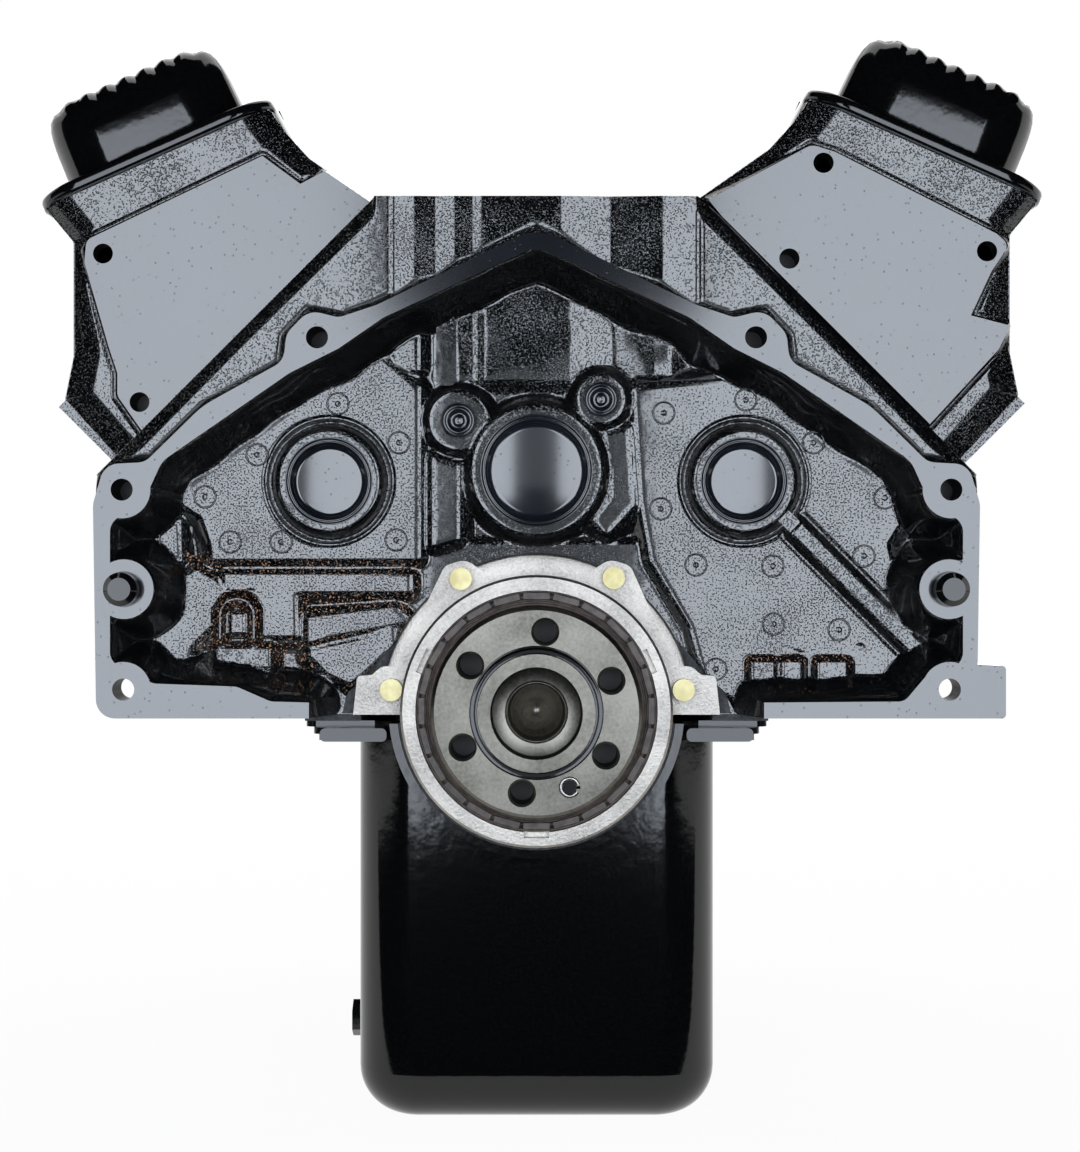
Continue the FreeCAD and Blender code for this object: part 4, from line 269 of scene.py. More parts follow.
enamelSheet = sheetEnamel()
enamelMilled = milledEnamel()
materials = {
    "cast_black": castEnamel(),
    "pressed_black": enamelSheet,
    "plug_black": enamelMilled,
    "bolt_black": enamelSheet,
    # the fine, pale skin of a die casting, with a soft satin sheen
    "housing_aluminium": bareMetal("die_cast_aluminium", "#87837e", "#cbc6be", (0.38, 0.52), 0.6, 0.3),
    # warm brown rubber, smooth from its mould
    "seal_rubber": dullSheet("moulded_fluoroelastomer", "#3b332f", "#5a4f48", 0.45, 2.0),
    # dark fibre sheet, quite dull
    "gasket_grey": dullSheet("pressed_fibre_gasket", "#333436", "#4c4e50", 0.8, 1.0),
    # plated screws: a pale straw yellow, bright at the edges
    "zinc_yellow": bareMetal("yellow_passivated_zinc", "#958c64", "#c4bc94", (0.3, 0.45), 2.0, 0.03),
    # a ground face with a film of oil: a dim, even, slightly warm grey
    "ground_steel": bareMetal("ground_crank_steel", "#55534d", "#7f7c74", (0.28, 0.4), 0.8, 0.03),
    # hammered scale under oil, darker and rougher than the ground faces
    "forged_steel": bareMetal("oiled_forged_steel", "#4a4947", "#77756f", (0.35, 0.55), 1.4, 0.08),
    # machined iron's open grain, dull grey
    "bare_iron": bareMetal("oiled_grey_iron", "#4b4a48", "#6f6d68", (0.45, 0.65), 1.2, 0.12),
    # fine rings left by the turning tool
    "piston_aluminium": bareMetal(
        "turned_piston_alloy", "#8b8b89", "#b4b4b0", (0.25, 0.4), 1.0, 0.04, (1, 1, 6),
    ),
    # soft grey plating with fine lines along the bore
    "bearing_shell": bareMetal("bearing_overlay", "#7a7975", "#9e9c96", (0.25, 0.4), 1.0, 0.02, (1, 5, 1)),
    # bright stems, ground across their length
    "valve_steel": bareMetal("ground_valve_steel", "#7e7c78", "#a5a39e", (0.2, 0.35), 1.0, 0.02, (1, 1, 5)),
    # painted shade: near black for the insides of the screw holes, where shade falls
    "oiled_hole": dullSheet("painted_shade_in_screw_holes", "#040404", "#0d0b0a", 0.5, 1.5),
    # blue-grey wire with the dents of its peening
    "spring_steel": bareMetal("peened_spring_wire", "#3e4045", "#62646a", (0.4, 0.55), 0.7, 0.05),
}
print("materials made")

# the CAD pieces take their slot's material, and their milled planes the milled enamel
milledPlanes = {"engine_block": blockEnds}
for side, rear in headRear.items():
    milledPlanes[f"{side}_cylinder_head"] = (rear, rear + headLength)
slotOf = {p["node"]: p["material_slot"] for p in frame["record"]["subparts"]}
for name, node in nodes.items():
    mesh = node.data
    mesh.materials.clear()
    mesh.materials.append(materials[slotOf[name]])
    if name in milledPlanes:
        mesh.materials.append(enamelMilled)
        for face in mesh.polygons:
            level = any(abs(face.center.y - y * mm) < 0.1 * mm for y in milledPlanes[name])
            face.material_index = 1 if level and abs(face.normal.y) > 0.999 else 0

# the dowels and the cam bore's plug are painted with the block
for name in ("bellhousing_dowels", "cam_rear_plug"):
    nodes[name].data.materials.clear()
    nodes[name].data.materials.append(enamelSheet)


# a point of a head, from its place along the deck and above it, as x and z of the engine
def headPoint(hand, along, above):
    height = above + deckHeight
    return hand * (along + height) / math.sqrt(2), (height - along) / math.sqrt(2)


# painted shade: the screw holes' faces are made near black from their mouths inwards, where shade falls
flangeLook = {"circle": 38.1, "middle": -65.9, "turns": (34.4, 89.1, 149.7)}
flangeTurns = [math.radians(flangeLook["middle"] + side * t) for side in (-1, 1) for t in flangeLook["turns"]]
flangeHoles = [(flangeLook["circle"] * math.cos(a), flangeLook["circle"] * math.sin(a)) for a in flangeTurns]
rimHoles = [(hand * x, z) for hand in (-1, 1) for x, z in ((103.2, 176.2), (195.0, 104.6), (194.3, 10.6))]
portHoles = [headPoint(-1, u, v) for u, v in ((-6.5, 78.5), (32.5, 14.0))]
starboardHoles = [headPoint(1, u, v) for u, v in ((-88.3, 53.8), (-67.3, 9.5), (-2.4, 79.4))]
shadedHoles = {
    "crankshaft": {"y": (0.6, 24), "radius": 5.6, "places": flangeHoles},
    "engine_block": {"y": (6.2, 46), "radius": 5.3, "places": rimHoles},
    "port_cylinder_head": {"y": (54.5, 80), "radius": 5.6, "places": portHoles},
    "starboard_cylinder_head": {"y": (32.1, 60), "radius": 5.6, "places": starboardHoles},
}
for name, holes in shadedHoles.items():
    mesh = nodes[name].data
    mesh.materials.append(materials["oiled_hole"])
    last = len(mesh.materials) - 1
    start, end = holes["y"]
    for face in mesh.polygons:
        x, y, z = face.center / mm
        near = any(math.hypot(x - hx, z - hz) < holes["radius"] for hx, hz in holes["places"])
        if near and start < y < end:
            face.material_index = last
print("CAD pieces dressed")


# one plain mesh piece from points in millimetres, riding a body
def meshPiece(name, points, faces, slot, body="block"):
    mesh = bpy.data.meshes.new(name)
    mesh.from_pydata([(x * mm, y * mm, z * mm) for x, y, z in points], [], faces)
    mesh.polygons.foreach_set("use_smooth", [True] * len(mesh.polygons))
    mesh.update()
    mesh.materials.append(materials[slot])
    piece = bpy.data.objects.new(name, mesh)
    bpy.context.scene.collection.objects.link(piece)
    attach(piece, body)
    return piece


# a quad strip between rings that each hold the same number of points
def joinRings(rings, closed=True):
    count = len(rings[0])
    faces = []
    for k in range(len(rings) - 1):
        for n in range(count if closed else count - 1):
            m = (n + 1) % count
            faces.append((k * count + n, k * count + m, (k + 1) * count + m, (k + 1) * count + n))
    return [point for ring in rings for point in ring], faces


# a cast skin over a grid of x and z, at the given y, kept where its edge distance is below zero
def castSkin(name, x, z, depth, edge, step, wear=None):
    # points just outside the edge are drawn in to it, so the outline is smooth
    slopeZ, slopeX = np.gradient(edge, step)
    length = np.hypot(slopeX, slopeZ) + 1e-9
    move = np.where((edge > 0) & (edge < 1.5 * step), edge, 0)
    px, pz = x - slopeX / length * move, z - slopeZ / length * move
    keep, some = edge < 1.05 * step, edge < 0
    quads = keep[:-1, :-1] & keep[1:, :-1] & keep[:-1, 1:] & keep[1:, 1:]
    quads &= some[:-1, :-1] | some[1:, :-1] | some[:-1, 1:] | some[1:, 1:]
    used = np.zeros(x.shape, bool)
    for dz, dx in ((0, 0), (0, 1), (1, 0), (1, 1)):
        used[dz:used.shape[0] - 1 + dz, dx:used.shape[1] - 1 + dx] |= quads
    index = -np.ones(x.shape, int)
    index[used] = np.arange(used.sum())
    points = np.stack([px[used], depth[used], pz[used]], 1).tolist()
    faces = [
        (int(index[r, c]), int(index[r, c + 1]), int(index[r + 1, c + 1]), int(index[r + 1, c]))
        for r, c in zip(*np.nonzero(quads))
    ]
    piece = meshPiece(name, points, faces, "cast_black")
    if wear is not None:
        marks = piece.data.attributes.new("wear", "FLOAT", "POINT")
        marks.data.foreach_set("value", wear[used].astype(np.float32))
    return piece


# distance from every grid point to an outline, below zero inside it
def outlineDistance(x, z, corners, closed=True):
    best = np.full(x.shape, 1e9)
    inside = np.zeros(x.shape, bool)
    ends = corners[1:] + corners[:1] if closed else corners[1:]
    for (ax, az), (bx, bz) in zip(corners, ends):
        ex, ez = bx - ax, bz - az
        along = np.clip(((x - ax) * ex + (z - az) * ez) / (ex * ex + ez * ez), 0, 1)
        best = np.minimum(best, np.hypot(x - ax - along * ex, z - az - along * ez))
        if az != bz:
            inside ^= ((az > z) != (bz > z)) & (x < ax + (z - az) * ex / ez)
    return np.where(inside & closed, -best, best)


def eased(value):
    value = np.clip(value, 0, 1)
    return value * value * (3 - 2 * value)


# from 0 to 1, level at first and steepest at the end, as a cast corner falls to its foot
def falling(value):
    return np.clip(value, 0, 1) ** 2


# a grid of x and z over two spans
def grid(xSpan, zSpan, step):
    return np.meshgrid(np.arange(*xSpan, step), np.arange(*zSpan, step))


# a height built up from stretches of x, each with its own slope
def slopedPlan(x, stretches):
    ends = [stretches[0][0]] + [s[1] for s in stretches]
    heights = np.concatenate([[0], np.cumsum([(s[1] - s[0]) * s[2] for s in stretches])])
    return np.interp(x, ends, heights)


# the recessed rear wall inside the bell rim, as one cast skin: its levels are in y, from the rear inwards
pocketLook = {
    "x": (-202, 202.1), "z": (-4, 221), "step": 1.2,
    "floor": 37.3, "plateau": 32.4, "boss": 29.4, "galleryBoss": 30.4, "arch": 27.0, "rim": 5.8,
    "housing": 34.8, "rimWidth": 15.0, "waviness": 0.25,
    "core": (100.0, 109.7), "coreHole": 20.9, "coreBoss": 24.0, "coreGroove": (27.6, 32.6),
    "cam": (0.0, 114.8), "camHole": 26.9, "camBoss": 30.6,
    "gallery": [(-37.6, 139.0, 13.8), (31.2, 149.2, 11.2)], "galleryHole": 8.3,
    "rib": [(116.5, 95.5), (186.5, 25.5)], "ribHalf": 3.4, "ribGroove": (4.4, 9.4),
    "upperZ": 150, "upperHalf": 64, "upperRise": 2.6, "lobeReach": 194, "lobeHalf": 9.0, "lowest": 2.6,
}
# how far each raised form takes to fall to the floor
falls = {"plateau": 8.6, "rib": 4.5, "core": 4.6, "cam": 6.5, "gallery": 5.5, "pad": 5.5, "arch": 5.0}
rimInside = [
    (0, 219), (72, 185.5), (93, 171), (116, 159.5), (176, 118), (186, 96), (200.5, 90), (200.5, 22),
    (184, 18), (173, 5), (107, 4.5), (107, -40), (-107, -40), (-107, 4.5), (-125, 5), (-141, 12),
    (-182, 13.5), (-188, 20.5), (-200.5, 22), (-200.5, 90), (-186, 96), (-176, 118), (-116, 159.5),
    (-93, 171), (-72, 185.5),
]
# round lobes of the rim: the dowel's, with a stem out to the rim, and two screws'
rimLobes = [(194.0, 57.8, 14.0), (195.0, 104.6, 13.5), (194.3, 10.6, 13.0)]
plateaus = [
    [(-172, 101), (-92.5, 159.5), (-76.3, 170), (-58, 154.5), (-58, 73.4), (-155.5, 73.2), (-156.3, 80),
     (-161, 94)],
    [(48.6, 153.5), (90, 157.5), (115.4, 145), (136, 126), (180, 99), (168, 80), (172, 62), (190, 32),
     (176, 9), (166, 20), (158, 33), (134, 27), (112, 34), (96, 6), (84, 10), (76, 40), (57, 72), (52, 100)],
    [(-198, 88), (-175, 90), (-174, 72), (-190, 70)],
    [(-187, 41), (-175, 59), (-164, 65), (-155, 60), (-152, 55), (-157, 42), (-168, 31), (-172, 20),
     (-181, 18), (-188, 26)],
    [(-134, 63), (-62, 63), (-62, 57.5), (-118, 57.5), (-117.5, 36), (-134, 36)],
    [(-149.5, 63), (-136.5, 63), (-136.5, 59), (-149.5, 59)],
    [(-109, 42), (-68.5, 47), (-63.6, 42.7), (-100, 36), (-109, 33)],
    [(-108, 26), (-85, 31), (-70, 37), (-68.5, 31), (-78, 23), (-90, 13), (-100, 17.6)],
    [(-69, 176), (-58.2, 179), (-58.2, 165), (-66, 167)],
    [(-49, 120), (-39, 116), (-39, 83), (-49, 80)],
    [(34.5, 131.7), (43.5, 134), (46, 99.3), (34, 86), (30, 91), (37.6, 101), (37.6, 115.4)],
    [(95, 6), (103, 24), (111, 31), (119, 28), (127, 23), (139, 28), (150, 30), (160, 24), (168, 12),
     (165, 6)],
]
raisedPads = [
    [(-153.8, 28.5), (-128.7, 28.5), (-128.7, 20), (-153.8, 20)],
    [(104, 22), (114, 22), (114, 12), (104, 12)],
    [(119, 22), (127, 22), (127, 12), (119, 12)],
    [(136, 22), (149, 22), (149, 12), (136, 12)],
]
upperStretches = [
    (-60, -50, 0.09), (-50, -38, -0.1), (-38, -31, 0.04), (-31, -24.5, -0.09), (-24.5, 16, 0.0),
    (16, 37, 0.075), (37, 56, -0.08),
]
sealPad = [
    (0, 73), (30, 69), (56, 47), (85, 13), (91, 8), (97, -4), (-97, -4), (-91, 8), (-85, 13), (-56, 47),
    (-30, 69),
]
archLine = [(-152.2, 33), (-152.2, 47), (-149, 51.8), (-144, 53.2), (-139, 51.8), (-136, 47), (-136, 33)]
archPad = [(-147.6, 36), (-147.6, 46), (-140.4, 46), (-140.4, 36)]
housingPad = [(-50, 80), (50, 80), (92, 23), (99, -5), (-99, -5), (-92, 23)]
wornAreas = [(-203, -56, 8, 76), (96, 160, -5, 32)]  # x from and to, z from and to


def pocketSkin():
    look = pocketLook
    step, floor, plateau, boss = look["step"], look["floor"], look["plateau"], look["boss"]
    x, z = grid(look["x"], look["z"], step)

    # a raised level that falls to the floor
    def raised(level, away, width):
        return level + (floor - level) * falling(away / width)

    # a groove at floor level that rises outwards to the plateau
    def grooved(depth, away, groove):
        start, end = groove
        carve = plateau + (floor - plateau) * falling(1 - (away - start) / (end - start))
        return np.where(away < end, np.maximum(depth, carve), depth)

    rim = outlineDistance(x, z, rimInside)
    for side in (-1, 1):
        for cx, cz, radius in rimLobes:
            rim = np.maximum(rim, radius - np.hypot(x - side * cx, z - cz))
        stem = np.maximum(look["lobeReach"] - side * x, abs(z - rimLobes[0][1]) - look["lobeHalf"])
        rim = np.maximum(rim, -stem)

    # two crossing waves, so the foot of the rim wanders a little
    wander = look["waviness"] * (np.sin(x * 0.21 + z * 0.13) + np.sin(z * 0.27 - x * 0.09))
    upper = eased((z - look["upperZ"]) / 10) * (1 - eased((abs(x) - look["upperHalf"]) / 10))
    folds = slopedPlan(x, upperStretches) * eased((z - look["upperZ"] - 2) / 8)
    depth = floor - look["upperRise"] * upper + folds
    for corners in plateaus:
        away = outlineDistance(x, z, corners)
        depth = np.minimum(depth, raised(plateau, away, falls["plateau"]))
    away = outlineDistance(x, z, look["rib"], closed=False)
    depth = grooved(depth, away, look["ribGroove"])
    depth = np.minimum(depth, raised(boss, away - look["ribHalf"], falls["rib"]))
    for side in (-1, 1):
        away = np.hypot(x - side * look["core"][0], z - look["core"][1])
        depth = grooved(depth, away, look["coreGroove"])
        depth = np.minimum(depth, raised(boss, away - look["coreBoss"], falls["core"]))
    away = np.hypot(x - look["cam"][0], z - look["cam"][1])
    depth = np.minimum(depth, raised(boss, away - look["camBoss"], falls["cam"]))
    for gx, gz, radius in look["gallery"]:
        away = np.hypot(x - gx, z - gz)
        depth = np.minimum(depth, raised(look["galleryBoss"], away - radius, falls["gallery"]))
    for corners in raisedPads:
        depth = np.minimum(depth, raised(boss, outlineDistance(x, z, corners), falls["pad"]))
    away = outlineDistance(x, z, archLine, closed=False)
    depth = np.minimum(depth, raised(look["arch"], away, falls["arch"]))
    away = outlineDistance(x, z, archPad)
    depth = np.minimum(depth, boss + (floor - boss) * eased(away / 3.5))
    bank = eased(-rim / (look["rimWidth"] + wander * 3)) ** 0.8
    depth = np.minimum(depth, look["rim"] + (floor - look["rim"]) * bank)
    depth = depth - 0.25 * wander * (depth > plateau + 1)
    away = outlineDistance(x, z, housingPad)
    depth = np.minimum(depth, look["housing"] + (floor - look["housing"]) * eased(away / 3))

    # the skin ends at the rim, round each plug and at the seal housing
    edge = rim.copy()
    for side in (-1, 1):
        away = np.hypot(x - side * look["core"][0], z - look["core"][1])
        edge = np.maximum(edge, look["coreHole"] - away)
    edge = np.maximum(edge, look["camHole"] - np.hypot(x - look["cam"][0], z - look["cam"][1]))
    for gx, gz, _ in look["gallery"]:
        edge = np.maximum(edge, look["galleryHole"] - np.hypot(x - gx, z - gz))
    edge = np.maximum(edge, -outlineDistance(x, z, sealPad))
    edge = np.maximum(edge, -look["lowest"] - z)

    # steep faces low in the pocket have lost some paint
    worn = np.zeros(x.shape, bool)
    for xFrom, xTo, zFrom, zTo in wornAreas:
        worn |= (x > xFrom) & (x < xTo) & (z > zFrom) & (z < zTo)
    slope = np.hypot(*np.gradient(depth, step))
    wear = np.where(worn & (rim < -look["rimWidth"]), np.clip(slope * 1.6, 0, 1), 0)
    castSkin("cast_rear_wall", x, z, depth, edge, step, wear)


pocketSkin()
print("rear wall cast")

# the block's end wall above the bell flange, fluted between the banks
endWallLook = {
    "x": (-212, 212.1), "z": (96, 246.6), "step": 1.2, "level": 24.0, "back": 27.6, "round": 8.0,
    "deckSum": 324.1, "bankFrom": 78, "noDeck": 30, "fluted": 93, "half": 211, "behindFlange": 3,
}
flangeOutside = [
    (0, 228), (75, 191.5), (93, 185.5), (107, 189), (117.5, 178), (119, 165), (157, 144), (184, 117.5),
    (203, 116.5), (208.5, 98), (208.5, 60), (-208.5, 60), (-208.5, 98), (-203, 116.5), (-184, 117.5),
    (-157, 144), (-119, 165), (-117.5, 178), (-107, 189), (-93, 185.5), (-75, 191.5),
]
flutes = [
    (-93, -72, -0.03), (-72, -69, 0.4), (-69, -58, -0.05), (-58, -49, 0.09), (-49, -39, -0.08),
    (-39, -31, 0.05), (-31, -26.5, -0.09), (-26.5, 11, 0.0), (11, 36, 0.075), (36, 60, -0.08),
    (60, 77, 0.06), (77, 81.5, -0.4), (81.5, 93, 0.03),
]


# from the back level at an edge, round to the front level
def rounded(front, back, away, radius):
    reach = np.clip(away / radius, 0, 1)
    return back - (back - front) * (1 - (1 - reach) ** 2)


def endWall():
    look = endWallLook
    x, z = grid(look["x"], look["z"], look["step"])
    across = abs(x)
    deck = (look["deckSum"] - across - z) / math.sqrt(2)
    deck = np.where(across < look["bankFrom"], look["noDeck"], deck)
    flange = outlineDistance(x, z, flangeOutside)
    depth = np.where(across < look["fluted"], look["level"] + slopedPlan(x, flutes), look["level"])
    for away in (deck, flange + 1):
        depth = np.maximum(depth, rounded(look["level"], look["back"], away, look["round"]))
    edge = np.maximum(np.maximum(-deck, -flange - look["behindFlange"]), across - look["half"])
    castSkin("cast_end_wall", x, z, depth, edge, look["step"])


endWall()
print("block end wall cast")

# the rear end of each head round its milled pad, in head axes turned to the bank
headLook = {
    "z": (116, 298), "step": 1.0, "groove": 3.2, "cast": 1.6, "back": 5.6, "round": 15.0, "padEdge": 0.9,
    "fall": 2.2,
}
headOutline = [
    (-119, 0), (-111.8, 41), (-112.6, 58), (-115, 72.3), (-2, 115.7), (0, 94), (14, 80), (40, 54), (58, 42),
    (60, 0),
]
headPads = {
    "port": {"hand": -1, "x": (-246, -76), "pad": [
        (-118, 1), (-112.5, 30), (-99.5, 34), (-96, 57), (-5.5, 89), (-1, 87), (3, 82), (24, 44), (30, 32),
        (38, 24), (42, 1),
    ]},
    "starboard": {"hand": 1, "x": (76, 246), "pad": [
        (-115, 2), (-98.5, 56), (-88, 61.5), (-5, 88.7), (3, 89), (6, 74), (14, 52), (31, 62), (35, 50),
        (37, 1),
    ]},
}


def headEnd(side):
    look, head = headLook, headPads[side]
    hand, groove, padEdge = head["hand"], look["groove"], look["padEdge"]
    x, z = grid(head["x"], look["z"], look["step"])
    u, v = (hand * x - z) / math.sqrt(2), (hand * x + z) / math.sqrt(2) - deckHeight
    away = outlineDistance(u, v, head["pad"])
    inside = -outlineDistance(u, v, headOutline)
    intakeSide = outlineDistance(u, v, headOutline[:4], closed=False)
    exhaustSide = outlineDistance(u, v, headOutline[4:], closed=False)
    outer = np.minimum(intakeSide, exhaustSide)
    cast = rounded(look["cast"], look["back"], outer, look["round"])
    depth = groove + (cast - groove) * eased((away - padEdge) / look["fall"])
    depth = headRear[side] + np.where(away < padEdge, groove * np.clip(away / padEdge, 0, 1), depth)
    castSkin(f"{side}_head_end", x, z, depth, np.maximum(-inside, -away), look["step"])


for side in headPads:
    headEnd(side)
print("head ends cast")

# the pressed valve covers, drawn with x across the rail, y along it and z above it
coverLook = {
    "railInner": (-115.0, 72.3), "railTilt": 21.0, "railWidth": 121.0, "overhang": 3.0, "endOverhang": 1.0,
    "flutes": 8, "fluteSpan": 84.0, "fluteDepth": 2.0, "fluteFrom": 38, "fluteFade": 9, "middle": 60.5,
    "crown": 50.2, "crownFrom": (31.0, 30.5), "crownTo": 62.5, "crownStep": 1.6,
    "cornerPoints": 13, "sidePoints": (72, 24),
}
# the pressing's section: inset at its sides, inset at its ends, height, corner radius
coverProfile = [
    (1.4, 1.4, 0.5, 21), (0.3, 0.3, 0.8, 22), (0.0, 0.0, 2.0, 22), (0.0, 0.0, 4.8, 22), (0.3, 0.3, 5.9, 22),
    (1.2, 1.2, 6.4, 21), (2.6, 2.6, 6.0, 20), (4.0, 4.0, 5.9, 19), (11.5, 8.6, 5.9, 22),
    (13.4, 9.9, 6.6, 24), (14.4, 10.7, 8.2, 26), (14.6, 10.8, 9.5, 26), (14.7, 10.8, 11.0, 26),
    (15.0, 10.8, 20.0, 26), (15.2, 10.8, 27.0, 26), (15.3, 10.9, 28.5, 26), (15.5, 11.3, 30.5, 25),
    (16.0, 12.9, 35.0, 23), (16.8, 14.6, 39.5, 21), (18.2, 16.6, 43.2, 18), (20.4, 19.2, 46.2, 17),
    (23.2, 22.2, 48.4, 15.5), (26.4, 25.6, 49.6, 14), (29.4, 28.8, 50.0, 13),
]


# a point of a cover as x, y and z of the engine; the port cover runs the other way
def coverPoint(side, x, y, z):
    look = coverLook
    tilt = math.radians(look["railTilt"])
    u = look["railInner"][0] + x * math.cos(tilt) - z * math.sin(tilt)
    v = look["railInner"][1] + x * math.sin(tilt) + z * math.cos(tilt)
    hand = 1 if side == "starboard" else -1
    px, pz = headPoint(hand, u, v)
    return (px, headRear[side] + (y if hand > 0 else headLength - y), pz)


# points round a rounded rectangle, the same number for any inset
def roundedRing(inset, endInset, radius):
    look = coverLook
    x0, x1 = inset - look["overhang"], look["railWidth"] + look["overhang"] - inset
    y0, y1 = endInset - look["endOverhang"], headLength + look["endOverhang"] - endInset
    radius = max(0.2, min(radius, (x1 - x0) / 2 - 0.05, (y1 - y0) / 2 - 0.05))
    corners = [
        (x1 - radius, y1 - radius, 0), (x0 + radius, y1 - radius, 90),
        (x0 + radius, y0 + radius, 180), (x1 - radius, y0 + radius, 270),
    ]
    ring = []
    for n, (cx, cy, start) in enumerate(corners):
        for k in range(look["cornerPoints"]):
            angle = math.radians(start + 90 * k / (look["cornerPoints"] - 1))
            ring.append((cx + radius * math.cos(angle), cy + radius * math.sin(angle)))
        nx, ny, turn = corners[(n + 1) % 4]
        angle = math.radians(turn)
        ex, ey = nx + radius * math.cos(angle), ny + radius * math.sin(angle)
        bx, by = ring[-1]
        count = look["sidePoints"][n % 2]
        for k in range(1, count):
            ring.append((bx + (ex - bx) * k / count, by + (ey - by) * k / count))
    return ring


def valveCover(side):
    look = coverLook
    profile = list(coverProfile)
    inset, endInset = look["crownFrom"]
    while inset < look["crownTo"]:
        profile.append((inset, endInset, look["crown"], max(1.0, 13 - (inset - 30) * 0.4)))
        inset += look["crownStep"]
        endInset += look["crownStep"]
    pitch = look["fluteSpan"] / look["flutes"]
    rings = []
    for inset, endInset, z, radius in profile:
        ring = []
        fade = min(1.0, max(0.0, (z - look["fluteFrom"]) / look["fluteFade"]))
        for x, y in roundedRing(inset, endInset, radius):
            wave = 1 - abs(math.cos(math.pi * (x - look["middle"]) / pitch))
            ring.append(coverPoint(side, x, y, z - look["fluteDepth"] * wave * fade))
        rings.append(ring)
    points, faces = joinRings(rings)
    faces.append(tuple(range(len(points) - len(rings[-1]), len(points))))
    piece = meshPiece(f"{side}_cover_pressing", points, faces, "pressed_black")
    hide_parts(f"{side}_valve_cover")


for side in headRear:
    valveCover(side)
print("valve covers pressed")


# a shape turned about an axis along y, from radius and y listed from its middle outwards, over an arc
def turned(name, profile, slot, body="block", centre=(0, 0), arc=(0, 360), segments=160):
    start, end = arc
    whole = end - start == 360
    count = segments if whole else segments + 1
    turn = [math.radians(start + (end - start) * n / segments) for n in range(count)]
    rings = [
        [(centre[0] + radius * math.cos(a), y, centre[1] + radius * math.sin(a)) for a in turn]
        for radius, y in reversed(profile)
    ]
    points, faces = joinRings(rings, whole)
    if whole and profile[0][0] < 1:  # the middle is closed
        faces.append(tuple(range(len(points) - segments, len(points))))
    return meshPiece(name, points, faces, slot, body)


# pressed plugs: a rolled rim round a slightly hollow bottom
plugLook = {
    "middleY": 35.0, "hollow": 0.0026, "rimWidth": 3.4, "coreRadius": 20.6, "camRadius": 26.6,
    "rim": [
        (-2.9, 33.2), (-2.3, 31.0), (-1.8, 30.0), (-1.3, 30.2), (-0.8, 30.7), (-0.3, 29.6), (0.3, 29.1),
        (0.8, 29.7),
    ],
}


def plugFace(name, centre, radius):
    look = plugLook
    bottom = np.linspace(0.5, radius - look["rimWidth"], 9)
    profile = [(r, look["middleY"] - look["hollow"] * r * r) for r in bottom]
    turned(name, profile + [(radius + out, y) for out, y in look["rim"]], "plug_black", centre=centre)


coreX, coreZ = pocketLook["core"]
plugFace("core_plug_face_port", (-coreX, coreZ), plugLook["coreRadius"])
plugFace("core_plug_face_starboard", (coreX, coreZ), plugLook["coreRadius"])
plugFace("cam_plug_face", pocketLook["cam"], plugLook["camRadius"])

# the two oil gallery plugs: a round socket in a rounded head
galleryProfile = [
    (0.5, 33.2), (2.0, 32.6), (2.7, 33.5), (4.4, 33.6), (5.0, 31.8), (5.8, 31.2), (6.6, 31.8), (7.2, 32.8),
    (7.8, 31.0), (8.7, 30.2),
]
for n, (x, z, _) in enumerate(pocketLook["gallery"]):
    turned(f"gallery_plug_face_{n + 1}", galleryProfile, "plug_black", centre=(x, z), segments=48)
print("plug faces made")

# the turned middle of the crank flange: a pilot recess with a groove round it, and the bore beyond; the
# groove is a thin black ring of painted shade
pilotProfile = [
    (14.0, 6.0), (14.5, 5.5), (15.0, 5.3), (20.6, 5.3), (21.0, 4.9), (21.2, -4.3), (21.7, -4.85),
    (22.2, -4.95), (22.9, -4.95), (23.1, -4.7), (26.4, -4.7), (26.6, -4.95), (27.2, -4.95), (27.8, -4.5),
    (27.9, -0.2),
]
grooveProfile = [(27.9, -0.2), (28.2, -0.15), (30.2, -0.15), (30.6, -0.3), (31.0, -0.3), (31.4, -0.1)]
boreProfile = [
    (0.5, 29.0), (2.0, 28.6), (6.0, 25.6), (6.4, 24.4), (9.0, 23.6), (9.4, 22.0), (12.0, 21.4),
    (12.4, 19.6), (13.4, 18.0), (13.7, 10.0), (13.8, 6.2),
]
turned("crank_pilot_ring", pilotProfile, "ground_steel", "crank")
# painted shade: the shallow groove ring takes the black enamel, dark as the groove's shade
turned("crank_groove_shade", grooveProfile, "pressed_black", "crank")

# the rolled end of the flywheel's split pin, and a black disc in its bore: painted shade in the hole
pinLow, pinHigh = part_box("flywheel_dowel")
pinPlace = ((pinLow.x + pinHigh.x) / 2 / mm, (pinLow.z + pinHigh.z) / 2 / mm)
pinRear = min(pinLow.y / mm, 0)
pinRoll = [(3.2, -0.3), (3.4, -0.6), (3.8, -0.8), (4.6, -0.8), (5.0, -0.5)]
pinRoll = [(radius, pinRear + y) for radius, y in pinRoll] + [(5.1, 0)]
turned("flywheel_pin_roll", pinRoll, "valve_steel", "crank", pinPlace, (20, 330), 40)
pinBoreShade = [(0.5, pinRear - 0.3), (3.3, pinRear - 0.3)]
turned("flywheel_pin_bore_shade", pinBoreShade, "pressed_black", "crank", pinPlace, segments=40)
turned("crank_bore", boreProfile, "ground_steel", "crank")
print("crank flange turned")

# the seal housing's foot: a flat step round the upper half of the barrel
footProfile = [(64.7, 26.8), (66.0, 26.3), (73.6, 26.3), (74.6, 26.8), (75.0, 27.8), (75.0, 35.8)]
turned("seal_housing_foot", footProfile, "housing_aluminium", arc=(9, 171))
print("seal housing foot turned")


